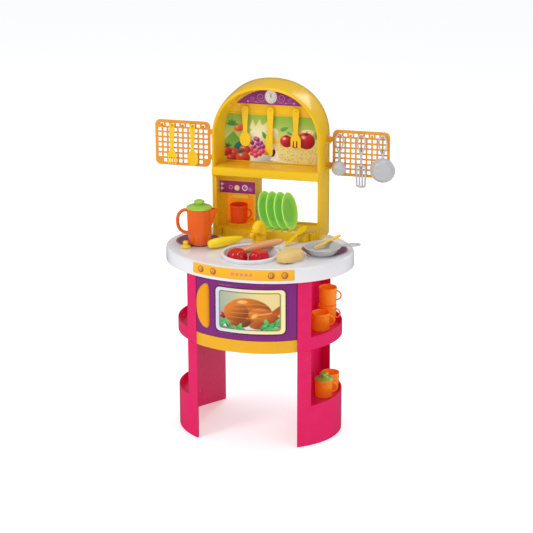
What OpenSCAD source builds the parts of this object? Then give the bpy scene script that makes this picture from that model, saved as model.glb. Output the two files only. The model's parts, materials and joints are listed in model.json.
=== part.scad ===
// Child's play kitchen: two open shelf towers carry an oval worktop with an oven
// below it and an arched back wall with a shelf, a drinks machine and two racks above it.
// Millimetres, +Z up, the front faces -Y. The origin is on the floor, under the middle
// of the overall box.

/* [Overall] */
// Sideways shift that puts the origin under the middle of the overall box
shift_x = -8.5; // [-12:0.5:-6]
// Wall thickness of the moulded shells
wall = 3; // [2.5:0.5:4]
// Number of sides used for the oval outlines
oval_n = 72; // [48:4:96]

/* [Worktop] */
// Half width of the oval worktop
top_a = 273; // [265:1:280]
// Half depth of the oval worktop
top_b = 204; // [200:1:210]
// Height of the worktop surface above the floor
top_z = 546; // [540:1:560]
// Height of the worktop skirt
skirt_h = 43; // [40:1:46]
// Radius of each hob disc
hob_r = 65.5; // [55:0.5:66]
// Sideways distance of each hob from the middle
hob_x = 186; // [180:1:188]
// Distance of the hobs behind the middle
hob_y = 18; // [10:1:22]
// Outer radius of the sink rim
sink_r = 85; // [82:1:86]
// Sideways position of the sink
sink_x = -6; // [-8:1:-5]
// Fore and aft position of the sink
sink_y = -85; // [-90:1:-82]

/* [Towers and oven] */
// Half width of the oval that the towers and the oven front follow
base_a = 240.4; // [236:0.2:246]
// Half depth of that oval
base_b = 196.7; // [192:0.1:198]
// Distance of each tower's inner wall from the middle
tower_x = 147; // [146.8:0.1:150]
// Distance of the outer edge of each front strip from the middle
strip_x = 181; // [178:1:186]
// Height where each tower's lower and upper mouldings meet
split_z = 290; // [286:1:292]
// Height of the upper tray's underside
tray_z = 293; // [292.5:0.5:296]
// Height of the upper tray's rim
tray_rim = 331; // [326:1:336]
// Height of the upper tray's floor
tray_floor = 312; // [306:1:316]
// Height of the lower tray's rim
low_rim = 121.5; // [116:0.5:128]
// Height of the lower tray's floor
low_floor = 103; // [98:1:108]
// Bottom of the oven door
door_z0 = 331; // [331:0.5:334]
// Top of the oven door
door_z1 = 501; // [498:0.5:501.5]
// Radius of the door's hinge pins
pin_r = 2; // [1.5:0.1:2.2]
// Running clearance of the hinge pins
run_gap = 0.06; // [0.02:0.01:0.1]

/* [Back wall] */
// Half width of the arch
arch_w = 164.5; // [162:0.5:166]
// Front of the arch
arch_y0 = 67.5; // [64:0.5:70]
// Back of the arch
arch_y1 = 178; // [174:1:182]
// Overall height of the kitchen
total_h = 1000; // [990:1:1010]
// Thickness of the arch's band
arch_t = 8; // [7:0.5:9]
// Front face of the picture panel
panel_y = 137; // [134:1:140]
// Top of the shelf
shelf_z1 = 756; // [752:1:758]
// Underside of the shelf
shelf_z0 = 730; // [728:1:732]
// Top of the plate stand
stand_z = 572; // [570:1:574]

/* [Racks] */
// Width of each wire rack
rack_w = 166; // [164:1:167]
// Height of each wire rack
rack_h = 135; // [133:1:136]
// Top of each rack
rack_z1 = 867; // [864:1:869]
// Distance of each rack's inner edge from the middle
rack_x0 = 182; // [181:0.5:183]
// Distance of each rack's hinge axis from the middle
rack_ax = 172; // [171.5:0.5:173]
// Fore and aft position of the racks
rack_y = 137.5; // [135:0.5:139]
// Rack thickness
rack_t = 4; // [3:0.5:5]
// Spacing of the rack's openings
rack_pitch = 15.5; // [15:0.1:15.6]

/* [Tableware] */
// Outer radius of a cup at its rim
cup_r = 26.5; // [25:0.5:27]
// Height of a cup
cup_h = 52; // [48:1:54]
// Diameter of a plate
plate_d = 110; // [104:1:112]
// Lean of the plates in their stand
plate_lean = 13; // [9:0.5:14]
// Turn of the plates about the vertical
plate_turn = 8; // [0:0.5:9]
// Spacing of the plates
plate_gap = 23.5; // [22:0.5:24]
// Height of the teapot's body
pot_h = 106; // [100:1:110]

/* [Hidden] */

yellow = [0.95, 0.75, 0.1];
pink = [0.88, 0.12, 0.38];
purple = [0.5, 0.15, 0.5];
orange = [0.95, 0.5, 0.1];
white = [0.94, 0.94, 0.95];
grey = [0.75, 0.75, 0.78];
green = [0.45, 0.75, 0.2];

top_bot = top_z - skirt_h;
hinge_x = 141;
tap_x = -3;
hinge_y = -154.8;
arc_z = total_h - 162;
rack_z0 = rack_z1 - rack_h;
rack_cx = rack_x0 + rack_w / 2;
rack_cz = (rack_z0 + rack_z1) / 2;
hook_dx = [-2, -1, 0, 1, 2];
hook_z = rack_z1 - 15;
seat = 0.3;

module at0() { translate([shift_x, 0, 0]) children(); }
module flip(right) { if (right) children(); else mirror([1, 0, 0]) children(); }

function oval(a, b, n = oval_n) = [for (i = [0:n - 1]) let (t = 360 * (i + 0.5) / n) [a * cos(t), b * sin(t)]];
function edge_y(a, b, x) = b * sqrt(1 - (x / a) * (x / a));
// Outline of the arch: straight sides under a slightly square-shouldered curve
function sgnpow(v, p) = (v < 0 ? -1 : 1) * pow(abs(v), p);
function arch_pts(w, z0, zc, h, n = 48) = concat([[w, z0]],
  [for (i = [0:n]) let (t = 180 * i / n) [w * sgnpow(cos(t), 2 / 2.12), zc + h * pow(sin(t), 2 / 2.12)]], [[-w, z0]]);
function rrect(w, h, r, n = 6) = concat(
  [for (i = [0:n]) let (t = 90 * i / n) [w / 2 - r + r * cos(t), h / 2 - r + r * sin(t)]],
  [for (i = [0:n]) let (t = 90 + 90 * i / n) [-w / 2 + r + r * cos(t), h / 2 - r + r * sin(t)]],
  [for (i = [0:n]) let (t = 180 + 90 * i / n) [-w / 2 + r + r * cos(t), -h / 2 + r + r * sin(t)]],
  [for (i = [0:n]) let (t = 270 + 90 * i / n) [w / 2 - r + r * cos(t), -h / 2 + r + r * sin(t)]]);
// Drop shape, round at the top and narrow at the bottom, used for wire handles
function drop(w, l, n = 24) = [for (i = [0:n - 1]) let (t = 360 * i / n, k = 0.5 - 0.5 * sin(t))
  [w / 2 * cos(t) * (1 - 0.72 * k * k), l / 2 * sin(t)]];

// A solid ring that follows the oval, from z0 to z1
module oval_ring(a, b, t, z0, z1) {
  translate([0, 0, z0]) linear_extrude(z1 - z0) difference() { polygon(oval(a, b)); polygon(oval(a - t, b - t)); }
}
module xz(y0, y1) { translate([0, y1, 0]) rotate([90, 0, 0]) linear_extrude(y1 - y0) children(); }
module slab(x0, x1, y0, y1, z0, z1) { translate([x0, y0, z0]) cube([x1 - x0, y1 - y0, z1 - z0]); }

// ---- towers ----
module d_plan(inset) {
  intersection() { polygon(oval(base_a - inset, base_b - inset)); translate([tower_x + inset, -300]) square([200, 600]); }
}
// One tower moulding between two heights, with a tray of the given heights
module tower(z0, z1, skirt0, skirt1, floor_z, leg) {
  yi = edge_y(base_a, base_b, tower_x);
  difference() {
    union() {
      translate([0, 0, z0]) linear_extrude(z1 - z0) difference() {
        intersection() { d_plan(0); translate([0, -300]) square([strip_x, 600]); }
        d_plan(wall);
      }
      translate([0, 0, skirt0]) linear_extrude(skirt1 - skirt0) difference() { d_plan(0); d_plan(wall); }
      translate([0, 0, floor_z - wall]) linear_extrude(wall) d_plan(wall / 2);
    }
    if (leg) {
      // the inner wall is cut on a slant between its front foot and its back foot
      translate([tower_x - 1, 0, 0]) rotate([90, 0, 90]) linear_extrude(wall + 1.5)
        polygon([[-yi + 11, -1], [-yi + 11, 93], [yi - 9, 0.5], [yi - 9, -1]]);
    }
  }
}
module left_tower_lower() { color(pink) at0() flip(false) tower(0, split_z, 0, low_rim, low_floor, true); }
module left_tower_upper() { color(pink) at0() flip(false) tower(split_z, top_z - wall, tray_z, tray_rim, tray_floor, false); }
module right_tower_lower() { color(pink) at0() flip(true) tower(0, split_z, 0, low_rim, low_floor, true); }
module right_tower_upper() { color(pink) at0() flip(true) tower(split_z, top_z - wall, tray_z, tray_rim, tray_floor, false); }
// Snap clips over the seam between the two mouldings of each tower
module tower_clips() {
  color(pink) at0() for (s = [-1, 1], e = [-1, 1]) let (x = 163, y = edge_y(base_a, base_b, x))
    translate([s * x, e * (y + 0.5), split_z]) rotate([0, 0, -s * e * 31.5]) translate([-5, -0.9, -3]) cube([10, 1.8, 6]);
}

// ---- oven ----
module oven_housing() {
  h = tower_x - 0.5;
  color(purple * 0.7) at0() difference() {
    translate([0, 0, door_z0 - 1.5]) linear_extrude(door_z1 - door_z0 + 2) intersection() {
      polygon(oval(base_a - 10.4, base_b - 14.7)); translate([-h, -300]) square([2 * h, 450]); }
    slab(-h + wall, h - wall, -300, 150 - wall, door_z0 + 1.5, door_z1 - 2.5);
  }
}
module oven_band() {
  h = tower_x - 0.5;
  color(yellow) at0() intersection() {
    union() {
      oval_ring(base_a, base_b, 4, 292, 329);
      oval_ring(base_a, base_b, 18, 325, 329);
      oval_ring(base_a, base_b, 12, 292, 295);
    }
    slab(-h, h, -300, -60, 290, 332);
  }
}
module door_hinge_pins() {
  color("silver") at0() translate([hinge_x, hinge_y, 0]) {
    translate([0, 0, 329]) cylinder(h = 1.2, r = 4, $fn = 32);
    translate([0, 0, 329]) cylinder(h = 13, r = pin_r, $fn = 32);
    translate([0, 0, top_bot - 13]) cylinder(h = 13.5, r = pin_r, $fn = 32);
  }
}
module door_plan(out, t, x0, x1) {
  intersection() {
    difference() { polygon(oval(base_a + out, base_b + out)); polygon(oval(base_a + out - t, base_b + out - t)); }
    translate([x0, -300]) square([x1 - x0, 200]);
  }
}
win_x0 = -77; win_x1 = 113; win_z0 = 355; win_z1 = 478;
module win_shape(g, r) { translate([(win_x0 + win_x1) / 2, (win_z0 + win_z1) / 2]) polygon(rrect(win_x1 - win_x0 + 2 * g, win_z1 - win_z0 + 2 * g, r)); }
module oven_door() {
  color(purple) at0() difference() {
    union() {
      difference() {
        translate([0, 0, door_z0]) linear_extrude(door_z1 - door_z0) door_plan(0, 4, -145.3, 144.5);
        xz(-260, -100) win_shape(-1.5, 10);
      }
      translate([0, 0, door_z0]) linear_extrude(door_z1 - door_z0) door_plan(-3.5, 1.5, -144, 144);
      translate([hinge_x, hinge_y, door_z0]) cylinder(h = door_z1 - door_z0, r = 4.4, $fn = 40);
    }
    for (z = [door_z0 - 1, door_z1 - 14]) translate([hinge_x, hinge_y, z]) cylinder(h = 15, r = pin_r + run_gap, $fn = 40);
  }
}
module window_frame() {
  color(grey) at0() intersection() {
    translate([0, 0, win_z0 - 10]) linear_extrude(win_z1 - win_z0 + 20) door_plan(1.6, 1.6, -110, 140);
    xz(-260, -100) difference() { win_shape(4, 13); win_shape(-5, 9); }
  }
}
module window_picture() {
  color([0.85, 0.6, 0.3]) at0() intersection() {
    translate([0, 0, win_z0 - 10]) linear_extrude(win_z1 - win_z0 + 20) door_plan(-1, 1, -110, 140);
    xz(-260, -100) win_shape(-2, 9.5);
  }
}
module door_handle() {
  color(yellow) at0() intersection() {
    translate([0, 0, 340]) linear_extrude(150) door_plan(13, 12.9, -145, -100);
    xz(-260, -100) intersection() {
      translate([-63, 418]) circle(r = 79.5, $fn = 96);
      translate([-145, 345]) square([43, 150]);
      translate([-160, 418]) circle(r = 86, $fn = 96);
    }
  }
}

// ---- worktop ----
module worktop() {
  color(white) at0() difference() {
    union() {
      translate([0, 0, top_z - wall]) linear_extrude(wall) polygon(oval(top_a, top_b));
      // raised edge of the shallow drainer beside the sink
      translate([118, -72, top_z]) linear_extrude(3) difference() { polygon(oval(36, 56, 48)); polygon(oval(32, 52, 48)); }
    }
    for (s = [-1, 1]) translate([s * hob_x, hob_y, top_z - 1.5]) cylinder(h = 3, r = hob_r + 0.5, $fn = 96);
    translate([sink_x, sink_y, top_z - 10]) cylinder(h = 20, r = sink_r - 6, $fn = 96);
  }
}
// The worktop's skirt, with a boss for the door's upper pin
module worktop_skirt() {
  color(white) at0() {
    oval_ring(top_a, top_b, wall, top_bot, top_z - wall);
    translate([hinge_x, hinge_y, top_bot + 0.5]) cylinder(h = skirt_h - wall - 0.5, r = 6, $fn = 32);
    slab(hinge_x - 1.5, hinge_x + 1.5, -173.5, hinge_y - 4, top_bot + 0.5, top_z - wall);
  }
}
module sink_basin() {
  color(white) at0() translate([sink_x, sink_y, top_z]) rotate_extrude($fn = 96)
    polygon([[0, -40], [60, -40], [77.5, -2], [77.5, 0], [sink_r, 0], [sink_r - 1, 6], [sink_r - 4, 10], [sink_r - 7.5, 10],
      [sink_r - 10, 6.5], [74.5, 0], [58.5, -37.5], [0, -37.5]]);
}
module hob_discs() {
  color([0.45, 0.2, 0.35]) at0() for (s = [-1, 1]) translate([s * hob_x, hob_y, top_z - 1.5]) cylinder(h = 1.3, r = hob_r, $fn = 96);
}
module control_label() {
  color(yellow) at0() intersection() {
    translate([0, 0, top_bot + 9]) linear_extrude(31) difference() { polygon(oval(top_a + 0.6, top_b + 0.6)); polygon(oval(top_a, top_b)); }
    slab(-150, 144, -300, -100, 500, 550);
  }
}

// ---- back wall ----
module plate_stand() {
  w = arch_w - arch_t - 0.2;
  color(yellow) at0() difference() {
    union() {
      translate([0, 0, top_z]) linear_extrude(stand_z - top_z) polygon(concat([[-w, arch_y1], [-w, 72], [-131, 70]],
        [for (i = [0:6]) let (t = 180 + 90 * i / 6) [-117 + 12 * cos(t), 73 + 12 * sin(t)]],
        [for (i = [0:6]) let (t = 270 + 90 * i / 6) [119 + 12 * cos(t), 73 + 12 * sin(t)]], [[133, 70], [w, 72], [w, arch_y1]]));
      // teeth between the plates, and a square stud on the front
      for (i = [0:3]) translate([-3 + i * plate_gap, 74, stand_z - 1]) cube([5, 4, 6]);
      slab(-66, -54, 58.5, 62, 557, 566);
    }
    slab(-22, 148, 82, 170, stand_z - 5, stand_z + 1);
    slab(-w + 4, w - 4, 78, arch_y1 + 1, top_z - 1, stand_z - 9);
  }
  // rear teeth, standing on the floor of the recess
  color(yellow) at0() for (i = [0:3]) translate([-13 + i * plate_gap, 145, stand_z - 6]) cube([5, 4, 11]);
}
module arch_frame() {
  color(yellow) at0() xz(arch_y0, arch_y1) difference() {
    polygon(arch_pts(arch_w, top_z, arc_z, total_h - arc_z));
    polygon(arch_pts(arch_w - arch_t, top_z - 1, arc_z, total_h - arc_z - arch_t));
  }
}
module back_panel() {
  color(yellow) at0() {
    xz(panel_y, panel_y + 3) polygon(arch_pts(arch_w - arch_t, shelf_z1, arc_z, total_h - arc_z - arch_t));
    for (x = [-75, 0, 75]) translate([x, panel_y + 1, 915]) rotate([90, 0, 0]) cylinder(h = 14, r = 2.5, $fn = 24);
  }
}
module food_picture() {
  color([0.6, 0.75, 0.3]) at0() xz(panel_y - 0.5, panel_y) difference() {
    translate([0, (753 + 897) / 2 + 4]) polygon(rrect(276, 140, 14));
    for (x = [-75, 0, 75]) translate([x, 915]) circle(r = 4, $fn = 24);
  }
}
module clock_picture() {
  color(purple) at0() xz(panel_y - 0.5, panel_y) intersection() {
    translate([0, 836]) circle(r = 138, $fn = 96);
    translate([-110, 929]) square([220, 60]);
  }
}
module shelf_board() {
  color(yellow) at0() {
    difference() {
      slab(-arch_w + arch_t, arch_w - arch_t, 58, arch_y1, shelf_z0, shelf_z1);
      slab(-arch_w + arch_t + 4, arch_w - arch_t - 4, 64, arch_y1 + 1, shelf_z0 - 1, shelf_z1 - 5);
    }
  }
}
module drinks_machine() {
  x0 = -arch_w + arch_t + 0.2; x1 = -37.5;
  color(yellow * 0.92) at0() {
    difference() {
      union() {
        slab(x0, x1, 103, arch_y1, stand_z, shelf_z0);
        slab(x0, -146, 70, 110, stand_z, shelf_z0);
      }
      slab(-127, -44, 90, 165, stand_z + 3, 665);
      slab(x0 + 4, x1 - 4, 168, arch_y1 + 1, stand_z + 4, shelf_z0 - 4);
    }
    // pouring lip over the cup
    translate([-86, 0, 665.5]) xz(104, 116) intersection() { circle(r = 26, $fn = 64); translate([-30, -12]) square([60, 12.5]); }
    translate([-86, 136, 655]) cylinder(h = 10.5, r = 6, $fn = 32);
  }
}
module drinks_label() {
  color(purple) at0() slab(-145.5, -39, 102.4, 103, 668, 705);
}
// Ears on the arch's sides with upright pins for the racks
module rack_brackets() {
  color(yellow) at0() for (s = [-1, 1], z = [826, 750]) {
    difference() {
      slab(min(s * arch_w, s * (rack_ax + 5)), max(s * arch_w, s * (rack_ax + 5)), rack_y - 5, rack_y + 5, z, z + 5);
    }
    translate([s * rack_ax, rack_y, z + 4]) cylinder(h = 16, r = 2.5, $fn = 32);
  }
}
module faucet_base() {
  color(yellow) at0() translate([tap_x, 30, top_z]) {
    cylinder(h = 5, r = 18.5, $fn = 64);
    cylinder(h = 28, r = 15, $fn = 64);
    translate([0, 0, 26]) cylinder(h = 14, r = 6, $fn = 40);
    translate([-14, 0, 13]) rotate([0, -90, 0]) cylinder(h = 5, r = 6, $fn = 40);
    translate([-14, 0, 21]) rotate([0, -90, 0]) cylinder(h = 12, r = 2.5, $fn = 32);
  }
}
module faucet_spout() {
  color(yellow) at0() translate([tap_x, 30, top_z + 28.4]) {
    difference() {
      cylinder(h = 18, r = 13, $fn = 64);
      translate([0, 0, -1]) cylinder(h = 13.5, r = 6 + run_gap, $fn = 40);
    }
    translate([0, 0, 17]) rotate([0, 0, -110]) translate([13.4, 0, 0]) rotate([90, 0, 0]) {
      rotate_extrude(angle = 180, $fn = 64) translate([13.4, 0]) circle(r = 12.4, $fn = 40);
      translate([13.4, 0, 0]) rotate([90, 0, 0]) cylinder(h = 6, r = 12.4, $fn = 40);
    }
  }
}
module faucet_knob() {
  color(yellow) at0() translate([tap_x - 19.5, 30, top_z + 21]) rotate([0, -90, 0]) difference() {
    union() {
      cylinder(h = 13, r = 8.5, $fn = 48);
      for (a = [0, 90]) rotate([0, 0, a]) translate([-12, -3, 2]) cube([24, 6, 8]);
      for (a = [0:90:270]) rotate([0, 0, a]) translate([12, 0, 6]) sphere(r = 4.8, $fn = 32);
    }
    translate([0, 0, -1]) cylinder(h = 10, r = 2.5 + run_gap, $fn = 40);
  }
}

// ---- racks ----
// A rack in its own plane, seen from the front, with its hinge edge on the left
module rack_plan() {
  cols = 10; rows = 8; p = rack_pitch; b = 4.4;
  x0 = -rack_w / 2 + (rack_w - cols * p) / 2; z0 = -rack_h / 2 + (rack_h - rows * p) / 2;
  difference() {
    polygon(rrect(rack_w, rack_h, 15));
    for (r = [0:rows - 1], c = [0:cols - 1])
      if (!(r == rows - 1) && !((r == 0) && (c == 0 || c == cols - 1)))
        translate([x0 + c * p + b / 2, z0 + r * p + b / 2]) square([p - b, p - b]);
    for (c = [0:cols - 2]) translate([x0 + (c + 0.5) * p + b / 2, z0 + (rows - 1) * p + b / 2]) square([p - b, p - b - 1]);
  }
}
module rack(right) {
  flip(right) {
    translate([rack_cx, 0, rack_cz]) xz(rack_y - rack_t / 2, rack_y + rack_t / 2) rack_plan();
    for (i = hook_dx) translate([rack_cx + i * 2 * rack_pitch, rack_y, hook_z]) rotate([90, 0, 0]) cylinder(h = 13, r = 2, $fn = 24);
    for (i = hook_dx) translate([rack_cx + i * 2 * rack_pitch, rack_y - 12, hook_z]) cylinder(h = 4.5, r = 1.6, $fn = 24);
    // each hook stands on a tab that rises from the bar below it
    for (i = hook_dx) let (x = rack_cx + i * 2 * rack_pitch) slab(x - 2.6, x + 2.6, rack_y - rack_t / 2, rack_y + rack_t / 2, hook_z - 6.5, hook_z + 3);
    for (z = [831.4, 755.4]) difference() {
      union() {
        translate([rack_ax, rack_y, z]) cylinder(h = 14, r = 5, $fn = 40);
        slab(rack_ax, rack_x0 + 2, rack_y - rack_t / 2, rack_y + rack_t / 2, z, z + 14);
      }
      translate([rack_ax, rack_y, z - 1]) cylinder(h = 16.5, r = 2.5 + run_gap, $fn = 40);
    }
  }
}
module left_rack() { color(orange) at0() rack(false); }
module right_rack() { color(orange) at0() rack(true); }

// ---- cutlery: outlines in the XZ plane with the hanging hole at the origin ----
module handle_plan(w0, w1, l) {
  difference() {
    union() { circle(r = w0 / 2, $fn = 32); polygon([[-w0 / 2, 0], [w0 / 2, 0], [w1 / 2, -l], [-w1 / 2, -l]]); }
    circle(r = 3.4, $fn = 24);
  }
}
module spoon_plan(w0, w1, l, bw, bl) {
  handle_plan(w0, w1, l);
  translate([0, -l - bl / 2 + 4]) polygon(oval(bw / 2, bl / 2, 40));
}
module fork_plan(w0, w1, l, bw, bl) {
  handle_plan(w0, w1, l);
  difference() {
    translate([0, -l - bl / 2 + 5]) polygon(rrect(bw, bl, 7));
    for (i = [-1, 0, 1]) translate([i * bw / 4 - 1.5, -l - bl]) square([3, bl * 0.55]);
  }
}
module knife_plan(w0, w1, l, bw, bl) {
  handle_plan(w0, w1, l);
  polygon([[w1 / 2, -l + 2], [w1 / 2, -l - bl], [w1 / 2 - 6, -l - bl - 3], [w1 / 2 - bw, -l - bl * 0.72], [w1 / 2 - bw, -l - 10], [-w1 / 2, -l + 2]]);
}
module hang(x, y0, z) { at0() translate([x, 0, z]) xz(y0, y0 + 3) children(); }
module panel_spoon() { color(yellow) hang(-75, 127, 914.2) spoon_plan(21, 13, 70, 32, 44); }
module panel_knife() { color(yellow) hang(0, 127, 914.2) knife_plan(21, 14, 70, 25, 62); }
module panel_fork() { color(yellow) hang(75, 127, 914.2) fork_plan(21, 13, 68, 30, 41); }
module rack_fork() { color(yellow) hang(-rack_cx - 2 * rack_pitch, 128, hook_z - 1) fork_plan(17, 11, 74, 27, 46); }
module rack_spoon() { color(yellow) hang(-rack_cx + 2 * rack_pitch, 128, hook_z - 1) spoon_plan(17, 11, 74, 33, 48); }

// ---- grey kitchen tools on the right rack ----
module loop_handle(l) {
  translate([0, -l / 2]) difference() { polygon(drop(30, l)); translate([0, 0.5]) polygon(drop(22, l - 9)); }
}
module ladle() {
  x = rack_cx - 4 * rack_pitch;
  color(grey) at0() {
    translate([x, 0, hook_z + 7]) xz(127, 130.5) { loop_handle(60); translate([-3.5, -63]) square([7, 7]); }
    // the neck bends forwards to the bowl
    translate([x - 3.5, 0, 0]) rotate([90, 0, 90]) linear_extrude(7) polygon([[127, 797], [130.5, 797], [130.5, 795], [126.5, 784], [125, 774.5], [121.5, 774.5], [123, 785], [127, 796]]);
    translate([x, 125, 757]) rotate([90, 0, 0]) difference() {
      intersection() { sphere(r = 21.5, $fn = 64); translate([-30, -30, 0]) cube([60, 60, 30]); }
      sphere(r = 19.3, $fn = 64);
    }
  }
}
module slotted_turner() {
  x = rack_cx + 2;
  color(grey) at0() translate([x, 0, hook_z + 7]) xz(127, 130.5) {
    loop_handle(60);
    translate([-3.5, -92]) square([7, 36]);
    difference() {
      translate([0, -122]) polygon(rrect(33, 66, 8));
      for (i = [-1, 0, 1]) translate([i * 8 - 1.6, -150]) square([3.2, 46]);
    }
  }
}
// Pan turned about its own axis: rim up, base at z 0
module pan_shell(rb, rt, h, t) {
  rotate_extrude($fn = 80) polygon([[0, 0], [rb, 0], [rt - 3, h - 3], [rt, h - 3], [rt, h], [rt - 5, h], [rb - 1, t], [0, t]]);
}
module hanging_pan() {
  x = rack_cx + 4 * rack_pitch + 2;
  color(grey) at0() {
    translate([x, 114, 757]) rotate([-90, 0, 0]) pan_shell(25, 36, 18, 2);
    translate([x, 0, hook_z + 7]) xz(127.5, 131.5) difference() {
      union() { loop_handle(60); translate([-4, -68]) square([8, 12]); }
      translate([0, 757 - hook_z - 7]) circle(r = 33, $fn = 64);
    }
  }
}

// ---- cups, bowls and the pot ----
module cup_body(r, h, t) {
  rotate_extrude($fn = 72) polygon([[0, 0], [r - 3.5, 0], [r - 2, 1.5], [r - 0.4, h - 6], [r, h - 5], [r, h], [r - t, h], [r - t - 1.6, t + 1], [r - t - 3, t], [0, t]]);
}
module ear(r, tube, flat) {
  scale([1, 1, 1]) rotate([90, 0, 0]) rotate([0, 0, -90]) rotate_extrude(angle = 180, $fn = 48) translate([r, 0]) circle(r = tube, $fn = 24);
}
module cup(x, y, z, turn) {
  color(orange) at0() translate([x, y, z + seat]) rotate([0, 0, turn]) {
    cup_body(cup_r, cup_h, 2);
    translate([cup_r - 1.6, 0, cup_h * 0.53]) ear(14, 2.2);
  }
}
module machine_cup() { cup(-95, 129, stand_z + 3, -8); }
module stacked_cup_top() { cup(187, 63, tray_floor + cup_h + 1, 4); }
module stacked_cup_bottom() { cup(186, 63, tray_floor, -6); }
module front_cup() { cup(182, -9, tray_floor, 12); }
module lower_cup() { cup(197, 59, low_floor, 90); }
module lid(x, y, z, r) {
  color(green) at0() translate([x, y, z + seat]) rotate_extrude($fn = 72)
    polygon([[0, -4], [r - 4.5, -4], [r - 4.5, 0], [r + 0.8, 0], [r + 0.8, 2], [r - 3, 4.5], [13, 7.5], [9, 9], [9.5, 11], [13, 14], [12.5, 18], [9, 20.5], [0, 21]]);
}
module sugar_bowl() { cup(191, 0, low_floor, 12); }
module sugar_lid() { lid(191, 0, low_floor + cup_h + seat, cup_r); }
pot_x = -175; pot_y = -12;
module teapot() {
  color([0.9, 0.36, 0.1]) at0() translate([pot_x, pot_y, top_z + seat]) {
    difference() {
      union() {
        rotate_extrude($fn = 80) polygon([[0, 0], [31, 0], [33.5, 2], [36, pot_h], [0, pot_h]]);
        xz(-8, 8) polygon([[30, 46], [36, 48], [54, pot_h - 3], [54, pot_h], [30, pot_h]]);
      }
      translate([0, 0, 3]) rotate_extrude($fn = 80) polygon([[0, 0], [30.5, 0], [33.3, pot_h], [0, pot_h]]);
      xz(-5.5, 5.5) polygon([[28, 60], [34, 60], [51, pot_h - 3], [51, pot_h + 1], [28, pot_h + 1]]);
    }
    translate([-33, 0, 64]) rotate([0, 0, 180]) ear(33, 5);
  }
}
module teapot_lid() {
  color(green) at0() translate([pot_x, pot_y, top_z + pot_h + 2 * seat]) rotate_extrude($fn = 80)
    polygon([[0, -4], [31.5, -4], [31.5, 0], [37, 0], [37, 2], [33, 5], [16, 9], [11, 10.5], [12, 13], [15, 16], [14.5, 20], [11, 22.5], [0, 23]]);
}
// Plates lean in the stand; each stands on the stand's floor
module plate(i) {
  r = plate_d / 2;
  bx = -5 + (i - 1) * plate_gap;
  color(green) at0() translate([bx, 108, stand_z - 5 + 0.5]) rotate([0, 0, -plate_turn]) rotate([0, -plate_lean, 0]) translate([0, 0, r + 0.5]) rotate([0, 90, 0])
    rotate_extrude($fn = 96) polygon([[0, 0], [r * 0.55, 0], [r * 0.62, 1.5], [r - 3, 8.5], [r, 9], [r, 11], [r - 4, 11], [r * 0.6, 3.8], [r * 0.54, 2.4], [0, 2.4]]);
}
module plate_1() { plate(1); }
module plate_2() { plate(2); }
module plate_3() { plate(3); }
module plate_4() { plate(4); }

pan_x = 188; pan_y = -20;
module frying_pan() {
  color(grey) at0() translate([pan_x, pan_y, top_z + seat]) {
    pan_shell(38, 53, 21, 2.5);
    // loop handle
    rotate([0, 0, 25]) translate([52, 0, 17]) rotate([0, 0, -90]) linear_extrude(4) translate([0, 58 - 30]) {
      difference() { polygon(drop(26, 62)); translate([0, 0]) polygon(drop(17, 50)); }
    }
  }
}
module pan_knife() {
  color(yellow) at0() translate([160.5, -5.7, top_z + 8.3]) rotate([0, 0, 37]) rotate([0, -17.8, 0])
    translate([0, 0, 0]) linear_extrude(3) {
      polygon([[0, -4], [15, -8.5], [36, -8], [40, 4], [0, 4]]);
      polygon([[36, -4.5], [82, -7], [82, 7], [36, 4.5]]);
      translate([82, 0]) circle(r = 7, $fn = 32);
    }
}
module leaning_spoon() {
  color(yellow) at0() translate([72, 14, top_z + 2.2]) rotate([0, 0, 56]) rotate([0, -26, 0]) linear_extrude(3) {
    translate([6, 0]) circle(r = 6, $fn = 32);
    polygon([[6, -6], [58, -4], [58, 4], [6, 6]]);
    translate([72, 0]) polygon(oval(20, 14, 40));
  }
}

// ---- play food ----
module lobed(r, h) {
  rotate_extrude($fn = 64) polygon([for (i = [0:16]) let (t = -90 + 180 * i / 16) [max(0, r * cos(t) * (1 + 0.08 * cos(2 * t))), h / 2 + h / 2 * sin(t) - (abs(t) > 80 ? 1.5 * sign(t) : 0)]]);
}
module tomatoes() {
  color([0.82, 0.12, 0.14]) at0() {
    translate([-43, -90, top_z - 37]) lobed(27.8, 55);
    translate([19.5, -83, top_z - 37]) lobed(27.8, 55);
  }
}
module corn_cob() {
  color([0.96, 0.8, 0.15]) at0() translate([-134, -67, top_z + 16.2]) rotate([0, 0, 46]) rotate([0, 90, 0]) rotate_extrude($fn = 48)
    polygon(concat([[0, 0]], [for (i = [1:15]) let (s = i / 16) [(15.8 - 4.6 * s) * pow(sin(180 * pow(s, 0.8)), 0.35), 115 * s]], [[0, 115]]));
}
module sausage() {
  color([0.75, 0.52, 0.35]) at0() translate([-51.6, -49.6, top_z - 7.5]) rotate([0, 0, 10]) rotate([0, 90 - 16.4, 0]) rotate_extrude($fn = 48)
    polygon(concat([[0, 0]], [for (i = [1:15]) let (s = i / 16) [12 * pow(sin(180 * s), 0.3), 135 * s]], [[0, 135]]));
}
module bread_bun() {
  color([0.9, 0.72, 0.42]) at0() translate([116, -104, top_z + 4]) rotate([0, 0, 55]) intersection() {
    rotate([0, 90, 0]) rotate_extrude($fn = 64) polygon(concat([[0, -46]], [for (i = [1:15]) let (s = i / 16) [28 * pow(sin(180 * s), 0.55), -46 + 92 * s]], [[0, 46]]));
    translate([-60, -40, 0]) cube([120, 80, 60]);
  }
}
module salt_shaker() {
  color([0.96, 0.8, 0.15]) at0() translate([-203, -62, top_z + 0.2]) {
    rotate_extrude($fn = 48) polygon([[0, 0], [14, 0], [14.5, 3], [12, 7.5], [7, 8.5], [6.5, 11], [8, 14], [7, 18], [4, 20], [0, 20.4]]);
  }
}

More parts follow.
